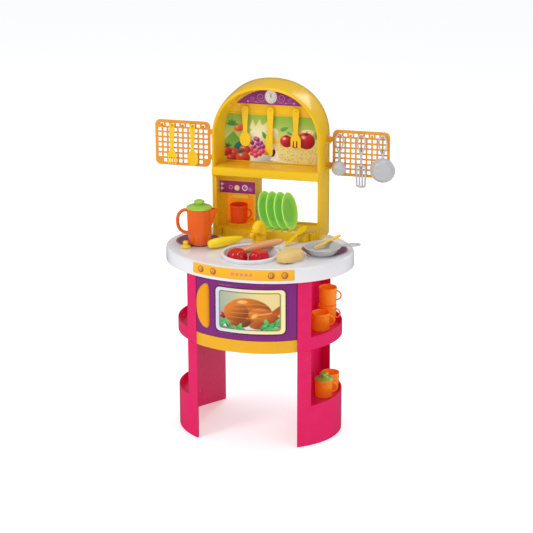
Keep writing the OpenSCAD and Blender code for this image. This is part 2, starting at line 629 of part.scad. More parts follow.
left_tower_lower();
left_tower_upper();
right_tower_lower();
right_tower_upper();
tower_clips();
oven_housing();
oven_band();
door_hinge_pins();
worktop();
worktop_skirt();
sink_basin();
hob_discs();
control_label();
plate_stand();
arch_frame();
back_panel();
food_picture();
clock_picture();
shelf_board();
drinks_machine();
drinks_label();
rack_brackets();
faucet_base();
oven_door();
window_frame();
window_picture();
door_handle();
left_rack();
rack_fork();
rack_spoon();
right_rack();
ladle();
slotted_turner();
hanging_pan();
panel_spoon();
panel_knife();
panel_fork();
faucet_spout();
faucet_knob();
teapot();
teapot_lid();
machine_cup();
plate_1();
plate_2();
plate_3();
plate_4();
stacked_cup_top();
stacked_cup_bottom();
front_cup();
lower_cup();
sugar_bowl();
sugar_lid();
frying_pan();
pan_knife();
leaning_spoon();
tomatoes();
corn_cob();
sausage();
bread_bun();
salt_shaker();
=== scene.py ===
import bpy
import bmesh
import json
import math
import numpy as np
from mathutils import Vector, Matrix


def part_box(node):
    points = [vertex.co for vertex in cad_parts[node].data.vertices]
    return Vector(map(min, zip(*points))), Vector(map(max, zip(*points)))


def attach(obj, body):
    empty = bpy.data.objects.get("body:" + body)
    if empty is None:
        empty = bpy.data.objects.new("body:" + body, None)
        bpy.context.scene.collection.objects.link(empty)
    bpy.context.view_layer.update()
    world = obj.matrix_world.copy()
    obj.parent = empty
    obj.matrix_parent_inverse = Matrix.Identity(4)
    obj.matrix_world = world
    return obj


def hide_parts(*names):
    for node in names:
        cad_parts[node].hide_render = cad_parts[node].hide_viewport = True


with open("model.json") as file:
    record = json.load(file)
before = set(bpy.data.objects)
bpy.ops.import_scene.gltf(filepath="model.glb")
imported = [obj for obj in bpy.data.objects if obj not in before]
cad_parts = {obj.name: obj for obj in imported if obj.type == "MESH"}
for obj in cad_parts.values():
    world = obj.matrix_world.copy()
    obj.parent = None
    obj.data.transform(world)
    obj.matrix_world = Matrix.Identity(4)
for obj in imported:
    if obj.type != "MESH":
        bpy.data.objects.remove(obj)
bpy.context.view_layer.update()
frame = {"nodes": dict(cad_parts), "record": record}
scene = bpy.context.scene
NODE_BODY = {n: b for b, ns in frame["record"]["behaviour"]["bodies"].items() for n in ns}

# All numbers below are millimetres from the kitchen's middle plane, as in the design.
_wl, _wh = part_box("worktop")
SX = (_wl.x + _wh.x) * 500.0
TOP = 546.0


def P(x, y, z):
    return ((x + SX) * 0.001, y * 0.001, z * 0.001)


# ------------------------------------------------------------------ camera
CAMPOS = (1294.41855835, -5096.80103358, 2251.48207997)
R2 = Vector((0.97031759, 0.24182165, -0.00246266))
U2 = Vector((-0.07475241, 0.30960003, 0.94792399))
FW = Vector((-0.22999098, 0.91960324, -0.31848711))
cam_data = bpy.data.cameras.new("camera")
cam = bpy.data.objects.new("camera", cam_data)
scene.collection.objects.link(cam)
cam_data.sensor_width = 36.0
cam_data.lens = 36.0 * 1929.622529 / 533.0
cam_data.clip_end = 100.0
m = Matrix.Identity(4)
for i in range(3):
    m[i][0], m[i][1], m[i][2] = R2[i], U2[i], -FW[i]
m.translation = Vector(P(*CAMPOS))
cam.matrix_world = m
scene.camera = cam

# ------------------------------------------------------------------ light and floor
scene.view_settings.view_transform = "Standard"
scene.view_settings.look = "None"
world = bpy.data.worlds.new("studio")
scene.world = world
world.use_nodes = True
wn, wl = world.node_tree.nodes, world.node_tree.links
wn["Background"].inputs[0].default_value = (0.97, 0.98, 1.0, 1)
wn["Background"].inputs[1].default_value = 0.60
# the backdrop itself is plain white; the softer value above only lights the object
w_white = wn.new("ShaderNodeBackground"); w_white.inputs[0].default_value = (1, 1, 1, 1); w_white.inputs[1].default_value = 1.0
w_path = wn.new("ShaderNodeLightPath"); w_mix = wn.new("ShaderNodeMixShader")
wl.new(w_path.outputs["Is Camera Ray"], w_mix.inputs[0])
w_dim = wn.new("ShaderNodeBackground"); w_dim.inputs[0].default_value = (0.9, 0.93, 1.0, 1); w_dim.inputs[1].default_value = 0.22
w_mix2 = wn.new("ShaderNodeMixShader")
wl.new(w_path.outputs["Is Glossy Ray"], w_mix2.inputs[0])
wl.new(wn["Background"].outputs[0], w_mix2.inputs[1]); wl.new(w_dim.outputs[0], w_mix2.inputs[2])
wl.new(w_mix2.outputs[0], w_mix.inputs[1]); wl.new(w_white.outputs[0], w_mix.inputs[2])
wl.new(w_mix.outputs[0], wn["World Output"].inputs["Surface"])


def area(name, loc, target, size, power, color=(1, 1, 1), shape="RECTANGLE", size_y=None):
    d = bpy.data.lights.new(name, "AREA")
    d.shape = shape
    d.size = size
    d.size_y = size_y or size
    d.energy = power
    d.color = color
    o = bpy.data.objects.new(name, d)
    scene.collection.objects.link(o)
    o.location = loc
    o.rotation_euler = (Vector(target) - Vector(loc)).to_track_quat("-Z", "Y").to_euler()
    return o


area("key_light", (-2.3, -2.7, 3.1), (0, 0, 0.55), 1.3, 52, (1.0, 0.985, 0.96), size_y=1.7)
area("fill_light", (2.9, -1.9, 1.9), (0, 0, 0.5), 1.2, 11.5, (0.97, 0.98, 1.0), size_y=2.0)
area("top_light", (0.2, 0.5, 3.6), (0, 0, 0.6), 1.8, 20)
area("back_light", (1.2, 2.7, 2.4), (0, 0, 0.7), 1.2, 12)


# ------------------------------------------------------------------ materials
def lin(c):
    return tuple(((v / 255.0) / 12.92 if v / 255.0 <= 0.04045 else ((v / 255.0 + 0.055) / 1.055) ** 2.4) for v in c)


def plastic(name, rgb, rough=0.24, vary=0.06, bump=0.05, grain=850.0, coat=0.25, sss=0.0, wear_and_edge_sheen=0.2, wave=0.10,
            transmission=0.0, metallic=0.0, attr=None, tint=0.05, speck=None, ior=1.46, painted_glow=None):
    """Moulded plastic: slow colour drift, patchy gloss, fine moulding texture, slow waviness and paler edges, partly
    rubbed wear and partly a painted edge highlight.
    """
    mt = bpy.data.materials.new(name)
    mt.use_nodes = True
    nt = mt.node_tree
    N, L = nt.nodes, nt.links
    bsdf = N["Principled BSDF"]
    tc = N.new("ShaderNodeTexCoord")
    base = N.new("ShaderNodeMix"); base.data_type = "RGBA"
    n1 = N.new("ShaderNodeTexNoise"); n1.inputs["Scale"].default_value = 9.0; n1.inputs["Detail"].default_value = 3.0
    L.new(tc.outputs["Object"], n1.inputs["Vector"])
    if attr:
        at = N.new("ShaderNodeAttribute"); at.attribute_name = attr
        dark = N.new("ShaderNodeMix"); dark.data_type = "RGBA"; dark.blend_type = "MULTIPLY"; dark.inputs[0].default_value = 1.0
        L.new(at.outputs["Color"], dark.inputs[6]); dark.inputs[7].default_value = (1 - tint, 1 - tint, 1 - tint, 1)
        L.new(at.outputs["Color"], base.inputs[6]); L.new(dark.outputs[2], base.inputs[7])
    else:
        c = lin(rgb)
        base.inputs[6].default_value = (*[min(1.0, v * (1 + tint)) for v in c], 1)
        base.inputs[7].default_value = (*[v * (1 - tint) for v in c], 1)
    L.new(n1.outputs["Fac"], base.inputs[0])
    out = base.outputs[2]
    if speck:
        ns = N.new("ShaderNodeTexNoise"); ns.inputs["Scale"].default_value = speck[0]; ns.inputs["Detail"].default_value = 2.0
        L.new(tc.outputs["Object"], ns.inputs["Vector"])
        rs = N.new("ShaderNodeMapRange"); rs.inputs["From Min"].default_value = 0.66; rs.inputs["From Max"].default_value = 0.74
        L.new(ns.outputs["Fac"], rs.inputs["Value"])
        sm = N.new("ShaderNodeMix"); sm.data_type = "RGBA"
        L.new(rs.outputs["Result"], sm.inputs[0]); L.new(out, sm.inputs[6]); sm.inputs[7].default_value = (*lin(speck[1]), 1)
        out = sm.outputs[2]
    # paler edges: partly rubbed wear, partly a painted highlight along the edges
    if wear_and_edge_sheen > 0:
        geo = N.new("ShaderNodeNewGeometry")
        bv = N.new("ShaderNodeBevel"); bv.samples = 4; bv.inputs["Radius"].default_value = 0.0016
        dp = N.new("ShaderNodeVectorMath"); dp.operation = "DOT_PRODUCT"
        L.new(bv.outputs["Normal"], dp.inputs[0]); L.new(geo.outputs["Normal"], dp.inputs[1])
        mr = N.new("ShaderNodeMapRange"); mr.inputs["From Min"].default_value = 0.97; mr.inputs["From Max"].default_value = 0.80
        L.new(dp.outputs["Value"], mr.inputs["Value"])
        nw = N.new("ShaderNodeTexNoise"); nw.inputs["Scale"].default_value = 60.0; nw.inputs["Detail"].default_value = 4.0
        L.new(tc.outputs["Object"], nw.inputs["Vector"])
        mu = N.new("ShaderNodeMath"); mu.operation = "MULTIPLY"; L.new(mr.outputs["Result"], mu.inputs[0]); L.new(nw.outputs["Fac"], mu.inputs[1])
        mv = N.new("ShaderNodeMath"); mv.operation = "MULTIPLY"; L.new(mu.outputs[0], mv.inputs[0]); mv.inputs[1].default_value = wear_and_edge_sheen
        br = N.new("ShaderNodeMix"); br.data_type = "RGBA"; L.new(mv.outputs[0], br.inputs[0]); L.new(out, br.inputs[6])
        c = lin(rgb)
        br.inputs[7].default_value = (*[min(1.0, v * 0.8 + 0.16) for v in c], 1)
        out = br.outputs[2]
    L.new(out, bsdf.inputs["Base Color"])
    n2 = N.new("ShaderNodeTexNoise"); n2.inputs["Scale"].default_value = 26.0; n2.inputs["Detail"].default_value = 5.0
    L.new(tc.outputs["Object"], n2.inputs["Vector"])
    rr = N.new("ShaderNodeMapRange"); rr.inputs["To Min"].default_value = max(0.02, rough - vary); rr.inputs["To Max"].default_value = rough + vary
    rr.inputs["From Min"].default_value = 0.3; rr.inputs["From Max"].default_value = 0.7
    L.new(n2.outputs["Fac"], rr.inputs["Value"]); L.new(rr.outputs["Result"], bsdf.inputs["Roughness"])
    fine = N.new("ShaderNodeTexNoise"); fine.inputs["Scale"].default_value = grain; fine.inputs["Detail"].default_value = 2.0
    L.new(tc.outputs["Object"], fine.inputs["Vector"])
    slow = N.new("ShaderNodeTexNoise"); slow.inputs["Scale"].default_value = 22.0; slow.inputs["Detail"].default_value = 1.0
    L.new(tc.outputs["Object"], slow.inputs["Vector"])
    b1 = N.new("ShaderNodeBump"); b1.inputs["Strength"].default_value = wave; b1.inputs["Distance"].default_value = 0.002
    L.new(slow.outputs["Fac"], b1.inputs["Height"])
    b2 = N.new("ShaderNodeBump"); b2.inputs["Strength"].default_value = bump; b2.inputs["Distance"].default_value = 0.0004
    L.new(fine.outputs["Fac"], b2.inputs["Height"]); L.new(b1.outputs["Normal"], b2.inputs["Normal"])
    L.new(b2.outputs["Normal"], bsdf.inputs["Normal"])
    bsdf.inputs["Coat Weight"].default_value = coat
    bsdf.inputs["Coat Roughness"].default_value = 0.08
    bsdf.inputs["IOR"].default_value = ior
    bsdf.inputs["Metallic"].default_value = metallic
    if sss > 0:
        bsdf.inputs["Subsurface Weight"].default_value = sss
        bsdf.inputs["Subsurface Radius"].default_value = (0.006, 0.005, 0.004)
        bsdf.inputs["Subsurface Scale"].default_value = 1.0
    if transmission > 0:
        bsdf.inputs["Transmission Weight"].default_value = transmission
    if painted_glow:
        # painted glow: emission that stands for light coming through the thin wall
        bsdf.inputs["Emission Color"].default_value = (*lin(painted_glow[0]), 1)
        bsdf.inputs["Emission Strength"].default_value = painted_glow[1]
    return mt


# painted glow: the glow entries below are emission that lifts these colours, standing for light through thin plastic
M = {
    "yellow": plastic("yellow_plastic", (247, 198, 22), rough=0.22, coat=0.12),
    "machine": plastic("drinks_machine_plastic", (246, 188, 28), rough=0.24, coat=0.1, sss=0.2),
    "yellow_deep": plastic("yellow_band", (240, 176, 28), rough=0.27, coat=0.1),
    "handle": plastic("handle_plastic", (242, 162, 18), rough=0.17, coat=0.3),
    "tap": plastic("tap_plastic", (250, 206, 24), rough=0.2, coat=0.15, painted_glow=((250, 190, 10), 0.10)),
    "cutlery": plastic("cutlery_plastic", (250, 206, 30), rough=0.2, sss=0.08, coat=0.15),
    "pink": plastic("pink_plastic", (226, 22, 98), rough=0.22, coat=0.12, painted_glow=((226, 20, 60), 0.065)),
    "purple": plastic("purple_plastic", (132, 38, 124), rough=0.26, coat=0.12),
    "dark": plastic("dark_purple_plastic", (84, 24, 70), rough=0.5, coat=0.0),
    "white": plastic("white_plastic", (234, 233, 237), rough=0.2, coat=0.3, wear_and_edge_sheen=0.0, speck=(2600.0, (222, 222, 228))),
    "orange": plastic("rack_plastic", (238, 158, 34), rough=0.26, coat=0.12),
    "cup": plastic("cup_plastic", (255, 148, 34), rough=0.18, sss=0.2, coat=0.2, painted_glow=((255, 120, 20), 0.12)),
    "redcup": plastic("red_cup_plastic", (230, 78, 28), rough=0.2, sss=0.15, coat=0.15, painted_glow=((240, 70, 16), 0.10)),
    "teapot": plastic("teapot_plastic", (242, 100, 18), rough=0.18, coat=0.3, sss=0.08),
    "lid": plastic("lid_plastic", (160, 206, 74), rough=0.22, sss=0.15, coat=0.2),
    "plate": plastic("plate_plastic", (150, 214, 86), rough=0.15, coat=0.25, sss=0.12, wear_and_edge_sheen=0.0, attr="point_colour", painted_glow=((140, 210, 70), 0.36)),
    "grey": plastic("silver_plastic", (198, 198, 201), rough=0.26, metallic=0.08, coat=0.25),
    "red": plastic("red_plastic", (210, 22, 34), rough=0.2, coat=0.3, bump=0.12, grain=420.0, wear_and_edge_sheen=0.0),
    "sausage": plastic("sausage_plastic", (232, 170, 118), rough=0.34, coat=0.1, bump=0.12, grain=300.0, wear_and_edge_sheen=0.0),
    "bread": plastic("bread_plastic", (238, 200, 126), rough=0.34, coat=0.12, bump=0.25, grain=260.0, tint=0.1, wear_and_edge_sheen=0.0),
    "corn": plastic("corn_plastic", (255, 222, 36), rough=0.22, coat=0.2, sss=0.08, wear_and_edge_sheen=0.0, painted_glow=((250, 200, 20), 0.08)),
    "pins": plastic("steel_pin", (170, 170, 175), rough=0.3, metallic=0.9),
    # painted shade: darker orange for the shade in the tap's opening
    "mouth_shade": plastic("tap_mouth_shade", (190, 120, 10), rough=0.5, coat=0.0),
    "point_colour": plastic("printed_film", (200, 200, 200), rough=0.22, vary=0.04, coat=0.12, attr="point_colour", wear_and_edge_sheen=0.0, wave=0.05, bump=0.03, tint=0.03),
    "silver": plastic("window_rim", (214, 222, 226), rough=0.3, metallic=0.3, coat=0.2),
    "stem": plastic("stem_green", (60, 120, 40), rough=0.4),
}


def niche_painted_glow(mt):
    """Painted glow: emission only inside the drinks machine's niche, standing for light through its thin back."""
    nt = mt.node_tree
    N, L = nt.nodes, nt.links
    tc = N.new("ShaderNodeTexCoord"); sep = N.new("ShaderNodeSeparateXYZ")
    L.new(tc.outputs["Object"], sep.inputs[0])
    last = None
    for axis, lo_, hi_, w in (("X", -0.137, -0.0515, 0.0015), ("Y", 0.108, 0.30, 0.02), ("Z", 0.5745, 0.6675, 0.002)):
        a = N.new("ShaderNodeMapRange"); a.inputs["From Min"].default_value = lo_; a.inputs["From Max"].default_value = lo_ + w
        b = N.new("ShaderNodeMapRange"); b.inputs["From Min"].default_value = hi_ + w; b.inputs["From Max"].default_value = hi_
        L.new(sep.outputs[axis], a.inputs["Value"]); L.new(sep.outputs[axis], b.inputs["Value"])
        mm_ = N.new("ShaderNodeMath"); mm_.operation = "MULTIPLY"
        L.new(a.outputs["Result"], mm_.inputs[0]); L.new(b.outputs["Result"], mm_.inputs[1])
        if last is None:
            last = mm_
        else:
            m2 = N.new("ShaderNodeMath"); m2.operation = "MULTIPLY"
            L.new(last.outputs[0], m2.inputs[0]); L.new(mm_.outputs[0], m2.inputs[1])
            last = m2
    # strength of the painted glow
    g = N.new("ShaderNodeMath"); g.operation = "MULTIPLY"; g.inputs[1].default_value = 0.20
    L.new(last.outputs[0], g.inputs[0])
    N["Principled BSDF"].inputs["Emission Color"].default_value = (1.0, 0.50, 0.04, 1)
    L.new(g.outputs[0], N["Principled BSDF"].inputs["Emission Strength"])


niche_painted_glow(M["machine"])


# ------------------------------------------------------------------ mesh helpers
def sharpen(me, deg):
    bm = bmesh.new(); bm.from_mesh(me)
    lim = math.radians(deg)
    for f in bm.faces:
        f.smooth = True
    for e in bm.edges:
        e.smooth = not (len(e.link_faces) == 2 and e.calc_face_angle(0.0) > lim)
    bm.to_mesh(me); bm.free()


def finish_piece(o, mat, node=None, body=None, sharp=35.0, replaces=()):
    if mat is not None:
        o.data.materials.clear(); o.data.materials.append(mat)
    if sharp:
        sharpen(o.data, sharp)
    body = body or NODE_BODY[node]
    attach(o, body)
    if node:
        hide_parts(node)
    return o


def mesh_mm(name, verts, faces):
    me = bpy.data.meshes.new(name)
    me.from_pydata([P(*v) for v in verts], [], faces)
    me.validate()
    bm = bmesh.new(); bm.from_mesh(me)
    bmesh.ops.recalc_face_normals(bm, faces=bm.faces)
    bm.to_mesh(me); bm.free()
    o = bpy.data.objects.new(name, me)
    scene.collection.objects.link(o)
    return o


def bevel(o, w, seg=3, ang=30.0, harden=True):
    b = o.modifiers.new("edges", "BEVEL")
    b.width = w * 0.001; b.segments = seg; b.limit_method = "ANGLE"; b.angle_limit = math.radians(ang)
    b.harden_normals = harden; b.use_clamp_overlap = True
    return b


def dress(node, mat, width=0.8, seg=2, ang=32.0, special=None, sharp=35.0):
    """A clean copy of a CAD node with its edges rounded. special(mid point mm, edge) may give an edge a wider round."""
    src = frame["nodes"][node]
    me = bpy.data.meshes.new(node + "_shell")
    bm = bmesh.new(); bm.from_mesh(src.data)
    bmesh.ops.remove_doubles(bm, verts=bm.verts, dist=0.00002)
    bmesh.ops.dissolve_degenerate(bm, edges=bm.edges, dist=0.00001)
    bmesh.ops.dissolve_limit(bm, angle_limit=math.radians(0.6), verts=bm.verts, edges=bm.edges)
    if special:
        lay = bm.edges.layers.float.new("bevel_weight_edge")
        for e in bm.edges:
            if len(e.link_faces) != 2 or e.calc_face_angle(0.0) < math.radians(ang):
                continue
            c = (e.verts[0].co + e.verts[1].co) * 500.0
            e[lay] = special(Vector((c.x - SX, c.y, c.z)), e)
    bm.to_mesh(me); bm.free()
    for an in ("custom_normal",):
        if an in me.attributes:
            me.attributes.remove(me.attributes[an])
    o = bpy.data.objects.new(node + "_shell", me)
    scene.collection.objects.link(o)
    b = bevel(o, width, seg, ang)
    if special:
        b.limit_method = "WEIGHT"
    return finish_piece(o, mat, node, sharp=sharp)


def smoothstep(a, b, x):
    t = np.clip((x - a) / (b - a), 0, 1)
    return t * t * (3 - 2 * t)


def round_poly(pts, r, n=4, closed=True):
    """The polygon with each corner replaced by an arc of radius r (a number or one per corner)."""
    out = []
    k = len(pts)
    for i in range(k):
        p = np.array(pts[i], float)
        rr = r[i] if hasattr(r, "__len__") else r
        if (not closed and i in (0, k - 1)) or rr <= 0:
            out.append(tuple(p)); continue
        a = np.array(pts[i - 1], float) - p
        b = np.array(pts[(i + 1) % k], float) - p
        la, lb = np.linalg.norm(a), np.linalg.norm(b)
        a /= la; b /= lb
        ang = math.acos(max(-1, min(1, float(a @ b))))
        if ang > math.pi - 0.02:
            out.append(tuple(p)); continue
        d = min(rr / math.tan(ang / 2), la * 0.49, lb * 0.49)
        p0, p1 = p + a * d, p + b * d
        for j in range(n + 1):
            t = j / n
            out.append(tuple((1 - t) ** 2 * p0 + 2 * t * (1 - t) * p + t * t * p1))
    return out


def lathe(profile, n=80, closed=False):
    """verts and faces of a profile [(r, z)] turned round Z. Ends on the axis are closed by a pole."""
    verts, rings = [], []
    for r, z in profile:
        if r < 1e-6:
            rings.append([len(verts)]); verts.append((0.0, 0.0, z))
        else:
            rings.append(list(range(len(verts), len(verts) + n)))
            verts += [(r * math.cos(2 * math.pi * i / n), r * math.sin(2 * math.pi * i / n), z) for i in range(n)]
    faces = []
    pairs = list(zip(rings[:-1], rings[1:])) + ([(rings[-1], rings[0])] if closed else [])
    for a, b in pairs:
        if len(a) == 1 and len(b) == 1:
            continue
        for i in range(n):
            j = (i + 1) % n
            if len(a) == 1:
                faces.append((a[0], b[i], b[j]))
            elif len(b) == 1:
                faces.append((a[i], a[j], b[0]))
            else:
                faces.append((a[i], a[j], b[j], b[i]))
    return verts, faces


def move(vf, mat4):
    v, f = vf
    return [tuple(mat4 @ Vector(p)) for p in v], f


def join(*vfs):
    V, F = [], []
    for v, f in vfs:
        k = len(V)
        V += list(v); F += [tuple(i + k for i in face) for face in f]
    return V, F


def T(x, y, z):
    return Matrix.Translation((x, y, z))


def RZ(d):
    return Matrix.Rotation(math.radians(d), 4, "Z")


def RX(d):
    return Matrix.Rotation(math.radians(d), 4, "X")


def RY(d):
    return Matrix.Rotation(math.radians(d), 4, "Y")


def tube(path, rad, n=16, closed=False, flat=1.0, up=None, cap=True):
    """Round or oval tube on a path. rad is a number or a function of 0..1. flat is the width along up over the width across."""
    pts = [Vector(p) for p in path]
    k = len(pts)
    up = Vector(up) if up is not None else Vector((0, 1, 0))
    verts, faces = [], []
    for i, p in enumerate(pts):
        if closed:
            d = pts[(i + 1) % k] - pts[i - 1]
        else:
            d = pts[min(i + 1, k - 1)] - pts[max(i - 1, 0)]
        d.normalize()
        side = d.cross(up)
        if side.length < 1e-6:
            side = d.cross(Vector((1, 0, 0)))
        side.normalize()
        u = side.cross(d).normalized()
        r = rad(i / (k - 1 if not closed else k)) if callable(rad) else rad
        for j in range(n):
            a = 2 * math.pi * j / n
            verts.append(tuple(p + side * (r * math.cos(a)) + u * (r * flat * math.sin(a))))
    for i in range(k if closed else k - 1):
        i2 = (i + 1) % k
        for j in range(n):
            j2 = (j + 1) % n
            faces.append((i * n + j, i * n + j2, i2 * n + j2, i2 * n + j))
    if not closed and cap:
        for i, s in ((0, -1), (k - 1, 1)):
            c = len(verts)
            d = (pts[i] - pts[i - s]).normalized() if 0 <= i - s < k else Vector((0, 0, 1))
            ring = [i * n + j for j in range(n)]
            r = rad(i / (k - 1)) if callable(rad) else rad
            prev = ring
            for q in (0.45, 0.8):
                sc = math.cos(q * math.pi / 2)
                base = len(verts)
                for j in ring:
                    v = Vector(verts[j]) - pts[i]
                    verts.append(tuple(pts[i] + v * sc + d * (r * min(1.0, flat) * 0.8 * math.sin(q * math.pi / 2))))
                cur = list(range(base, base + n))
                for j in range(n):
                    j2 = (j + 1) % n
                    faces.append((prev[j], prev[j2], cur[j2], cur[j]))
                prev = cur
            tip = len(verts)
            verts.append(tuple(pts[i] + d * (r * min(1.0, flat) * 0.8)))
            for j in range(n):
                faces.append((prev[j], prev[(j + 1) % n], tip))
    return verts, faces


def prism(poly, y0, y1, plane="xz"):
    """Closed solid of a polygon in XZ (or XY with z0, z1)."""
    k = len(poly)
    if plane == "xz":
        v = [(x, y0, z) for x, z in poly] + [(x, y1, z) for x, z in poly]
    elif plane == "yz":
        v = [(y0, a, b) for a, b in poly] + [(y1, a, b) for a, b in poly]
    else:
        v = [(x, y, y0) for x, y in poly] + [(x, y, y1) for x, y in poly]
    f = [tuple(range(k)), tuple(range(2 * k - 1, k - 1, -1))] + [(i, (i + 1) % k, k + (i + 1) % k, k + i) for i in range(k)]
    return v, f


def piece(name, vf, mat, node=None, bev=None, sharp=35.0, seg=3, body=None, subsurf=0):
    o = mesh_mm(name, *vf)
    if bev:
        bevel(o, bev, seg)
    if subsurf:
        s = o.modifiers.new("smooth", "SUBSURF"); s.levels = subsurf; s.render_levels = subsurf
    return finish_piece(o, mat, node, body=body, sharp=sharp)


# ------------------------------------------------------------------ floor
fl = bpy.data.meshes.new("floor")
fl.from_pydata([(-40, -40, -0.0002), (40, -40, -0.0002), (40, 40, -0.0002), (-40, 40, -0.0002)], [], [(0, 1, 2, 3)])
floor = bpy.data.objects.new("floor", fl)
scene.collection.objects.link(floor)
fm = bpy.data.materials.new("floor_white"); fm.use_nodes = True
fb = fm.node_tree.nodes["Principled BSDF"]
fn = fm.node_tree.nodes.new("ShaderNodeTexNoise"); fn.inputs["Scale"].default_value = 3.0
fr = fm.node_tree.nodes.new("ShaderNodeMapRange"); fr.inputs["To Min"].default_value = 0.55; fr.inputs["To Max"].default_value = 0.65
fm.node_tree.links.new(fn.outputs["Fac"], fr.inputs["Value"]); fm.node_tree.links.new(fr.outputs["Result"], fb.inputs["Roughness"])
fb.inputs["Base Color"].default_value = (0.93, 0.93, 0.935, 1)
fb.inputs["Specular IOR Level"].default_value = 0.2
fb.inputs["Emission Color"].default_value = (1, 1, 1, 1)
fb.inputs["Emission Strength"].default_value = 0.44
fd = fm.node_tree.nodes.new("ShaderNodeBsdfDiffuse"); fd.inputs["Color"].default_value = (0.16, 0.16, 0.17, 1)
fp = fm.node_tree.nodes.new("ShaderNodeLightPath"); fx = fm.node_tree.nodes.new("ShaderNodeMixShader")
fm.node_tree.links.new(fp.outputs["Is Glossy Ray"], fx.inputs[0])
fm.node_tree.links.new(fb.outputs[0], fx.inputs[1]); fm.node_tree.links.new(fd.outputs[0], fx.inputs[2])
fm.node_tree.links.new(fx.outputs[0], fm.node_tree.nodes["Material Output"].inputs["Surface"])
floor.data.materials.append(fm)

# ------------------------------------------------------------------ printed pictures, painted as colours on fine meshes
def inside(px, pz, poly):
    c = np.zeros(px.shape, bool)
    k = len(poly)
    for i in range(k):
        x0, z0 = poly[i - 1]
        x1, z1 = poly[i]
        if abs(z1 - z0) < 1e-12:
            continue
        cross = ((z0 > pz) != (z1 > pz)) & (px < (x1 - x0) * (pz - z0) / (z1 - z0) + x0)
        c ^= cross
    return c


class Art:
    def __init__(self, X, Z, bg):
        self.X, self.Z = X, Z
        self.C = np.ones(X.shape + (3,)) * np.array(lin(bg))

    def put(self, m, col):
        m = np.clip(m, 0, 1)[..., None]
        self.C = self.C * (1 - m) + np.array(col) * m if not isinstance(col, np.ndarray) or col.ndim < 3 else self.C * (1 - m) + col * m

    def grad(self, z0, z1, c0, c1):
        t = smoothstep(z0, z1, self.Z)[..., None]
        self.C = np.array(lin(c0)) * (1 - t) + np.array(lin(c1)) * t

    def blob(self, cx, cz, rx, rz, rot, light, darkc, soft=0.12, lx=-0.45, lz=0.6, gloss=0.0):
        a = math.radians(rot)
        x = (self.X - cx) * math.cos(a) + (self.Z - cz) * math.sin(a)
        z = -(self.X - cx) * math.sin(a) + (self.Z - cz) * math.cos(a)
        d = np.sqrt((x / rx) ** 2 + (z / rz) ** 2)
        m = 1 - smoothstep(1 - soft, 1, d)
        nx, nz = (self.X - cx) / max(rx, rz), (self.Z - cz) / max(rx, rz)
        t = smoothstep(-0.9, 0.9, nx * lx * 1.6 + nz * lz * 1.2)[..., None]
        col = np.array(lin(darkc)) * (1 - t) + np.array(lin(light)) * t
        if gloss > 0:
            g = np.exp(-(((x / rx + 0.35) / 0.22) ** 2 + ((z / rz - 0.4) / 0.16) ** 2))[..., None] * gloss
            col = col * (1 - g) + g * 0.95
        self.put(m, col)

    def poly(self, pts, col, col2=None, dirx=0.0, dirz=1.0, scale=30.0):
        m = inside(self.X, self.Z, pts).astype(float)
        if col2 is None:
            self.put(m, np.array(lin(col)))
        else:
            cx, cz = np.mean([p[0] for p in pts]), np.mean([p[1] for p in pts])
            t = smoothstep(-1, 1, ((self.X - cx) * dirx + (self.Z - cz) * dirz) / scale)[..., None]
            self.put(m, np.array(lin(col)) * (1 - t) + np.array(lin(col2)) * t)

    def line(self, pts, w, col, soft=0.6):
        best = np.full(self.X.shape, 1e9)
        for (x0, z0), (x1, z1) in zip(pts[:-1], pts[1:]):
            dx, dz = x1 - x0, z1 - z0
            t = np.clip(((self.X - x0) * dx + (self.Z - z0) * dz) / (dx * dx + dz * dz + 1e-9), 0, 1)
            best = np.minimum(best, np.hypot(self.X - x0 - t * dx, self.Z - z0 - t * dz))
        self.put(1 - smoothstep(w / 2 - soft / 2, w / 2 + soft / 2, best), np.array(lin(col)))

    def ring(self, cx, cz, rx, rz, w, col):
        d = np.hypot((self.X - cx) / rx, (self.Z - cz) / rz)
        self.put(1 - smoothstep(w * 0.35, w * 0.65, np.abs(d - 1) * min(rx, rz)), np.array(lin(col)))


def leaf(cx, cz, l, w, rot):
    a = math.radians(rot)
    out = []
    for i in range(24):
        t = i / 24 * 2 * math.pi
        x, z = l / 2 * math.cos(t), w / 2 * math.sin(t) * (1 - 0.35 * math.cos(t))
        out.append((cx + x * math.cos(a) - z * math.sin(a), cz + x * math.sin(a) + z * math.cos(a)))
    return out


def swirl(cx, cz, r, a0, turns, flip=1, n=30):
    return [(cx + flip * r * (1 - 0.75 * i / n) * math.cos(math.radians(a0 + 360 * turns * i / n)),
             cz + r * (1 - 0.75 * i / n) * math.sin(math.radians(a0 + 360 * turns * i / n))) for i in range(n + 1)]


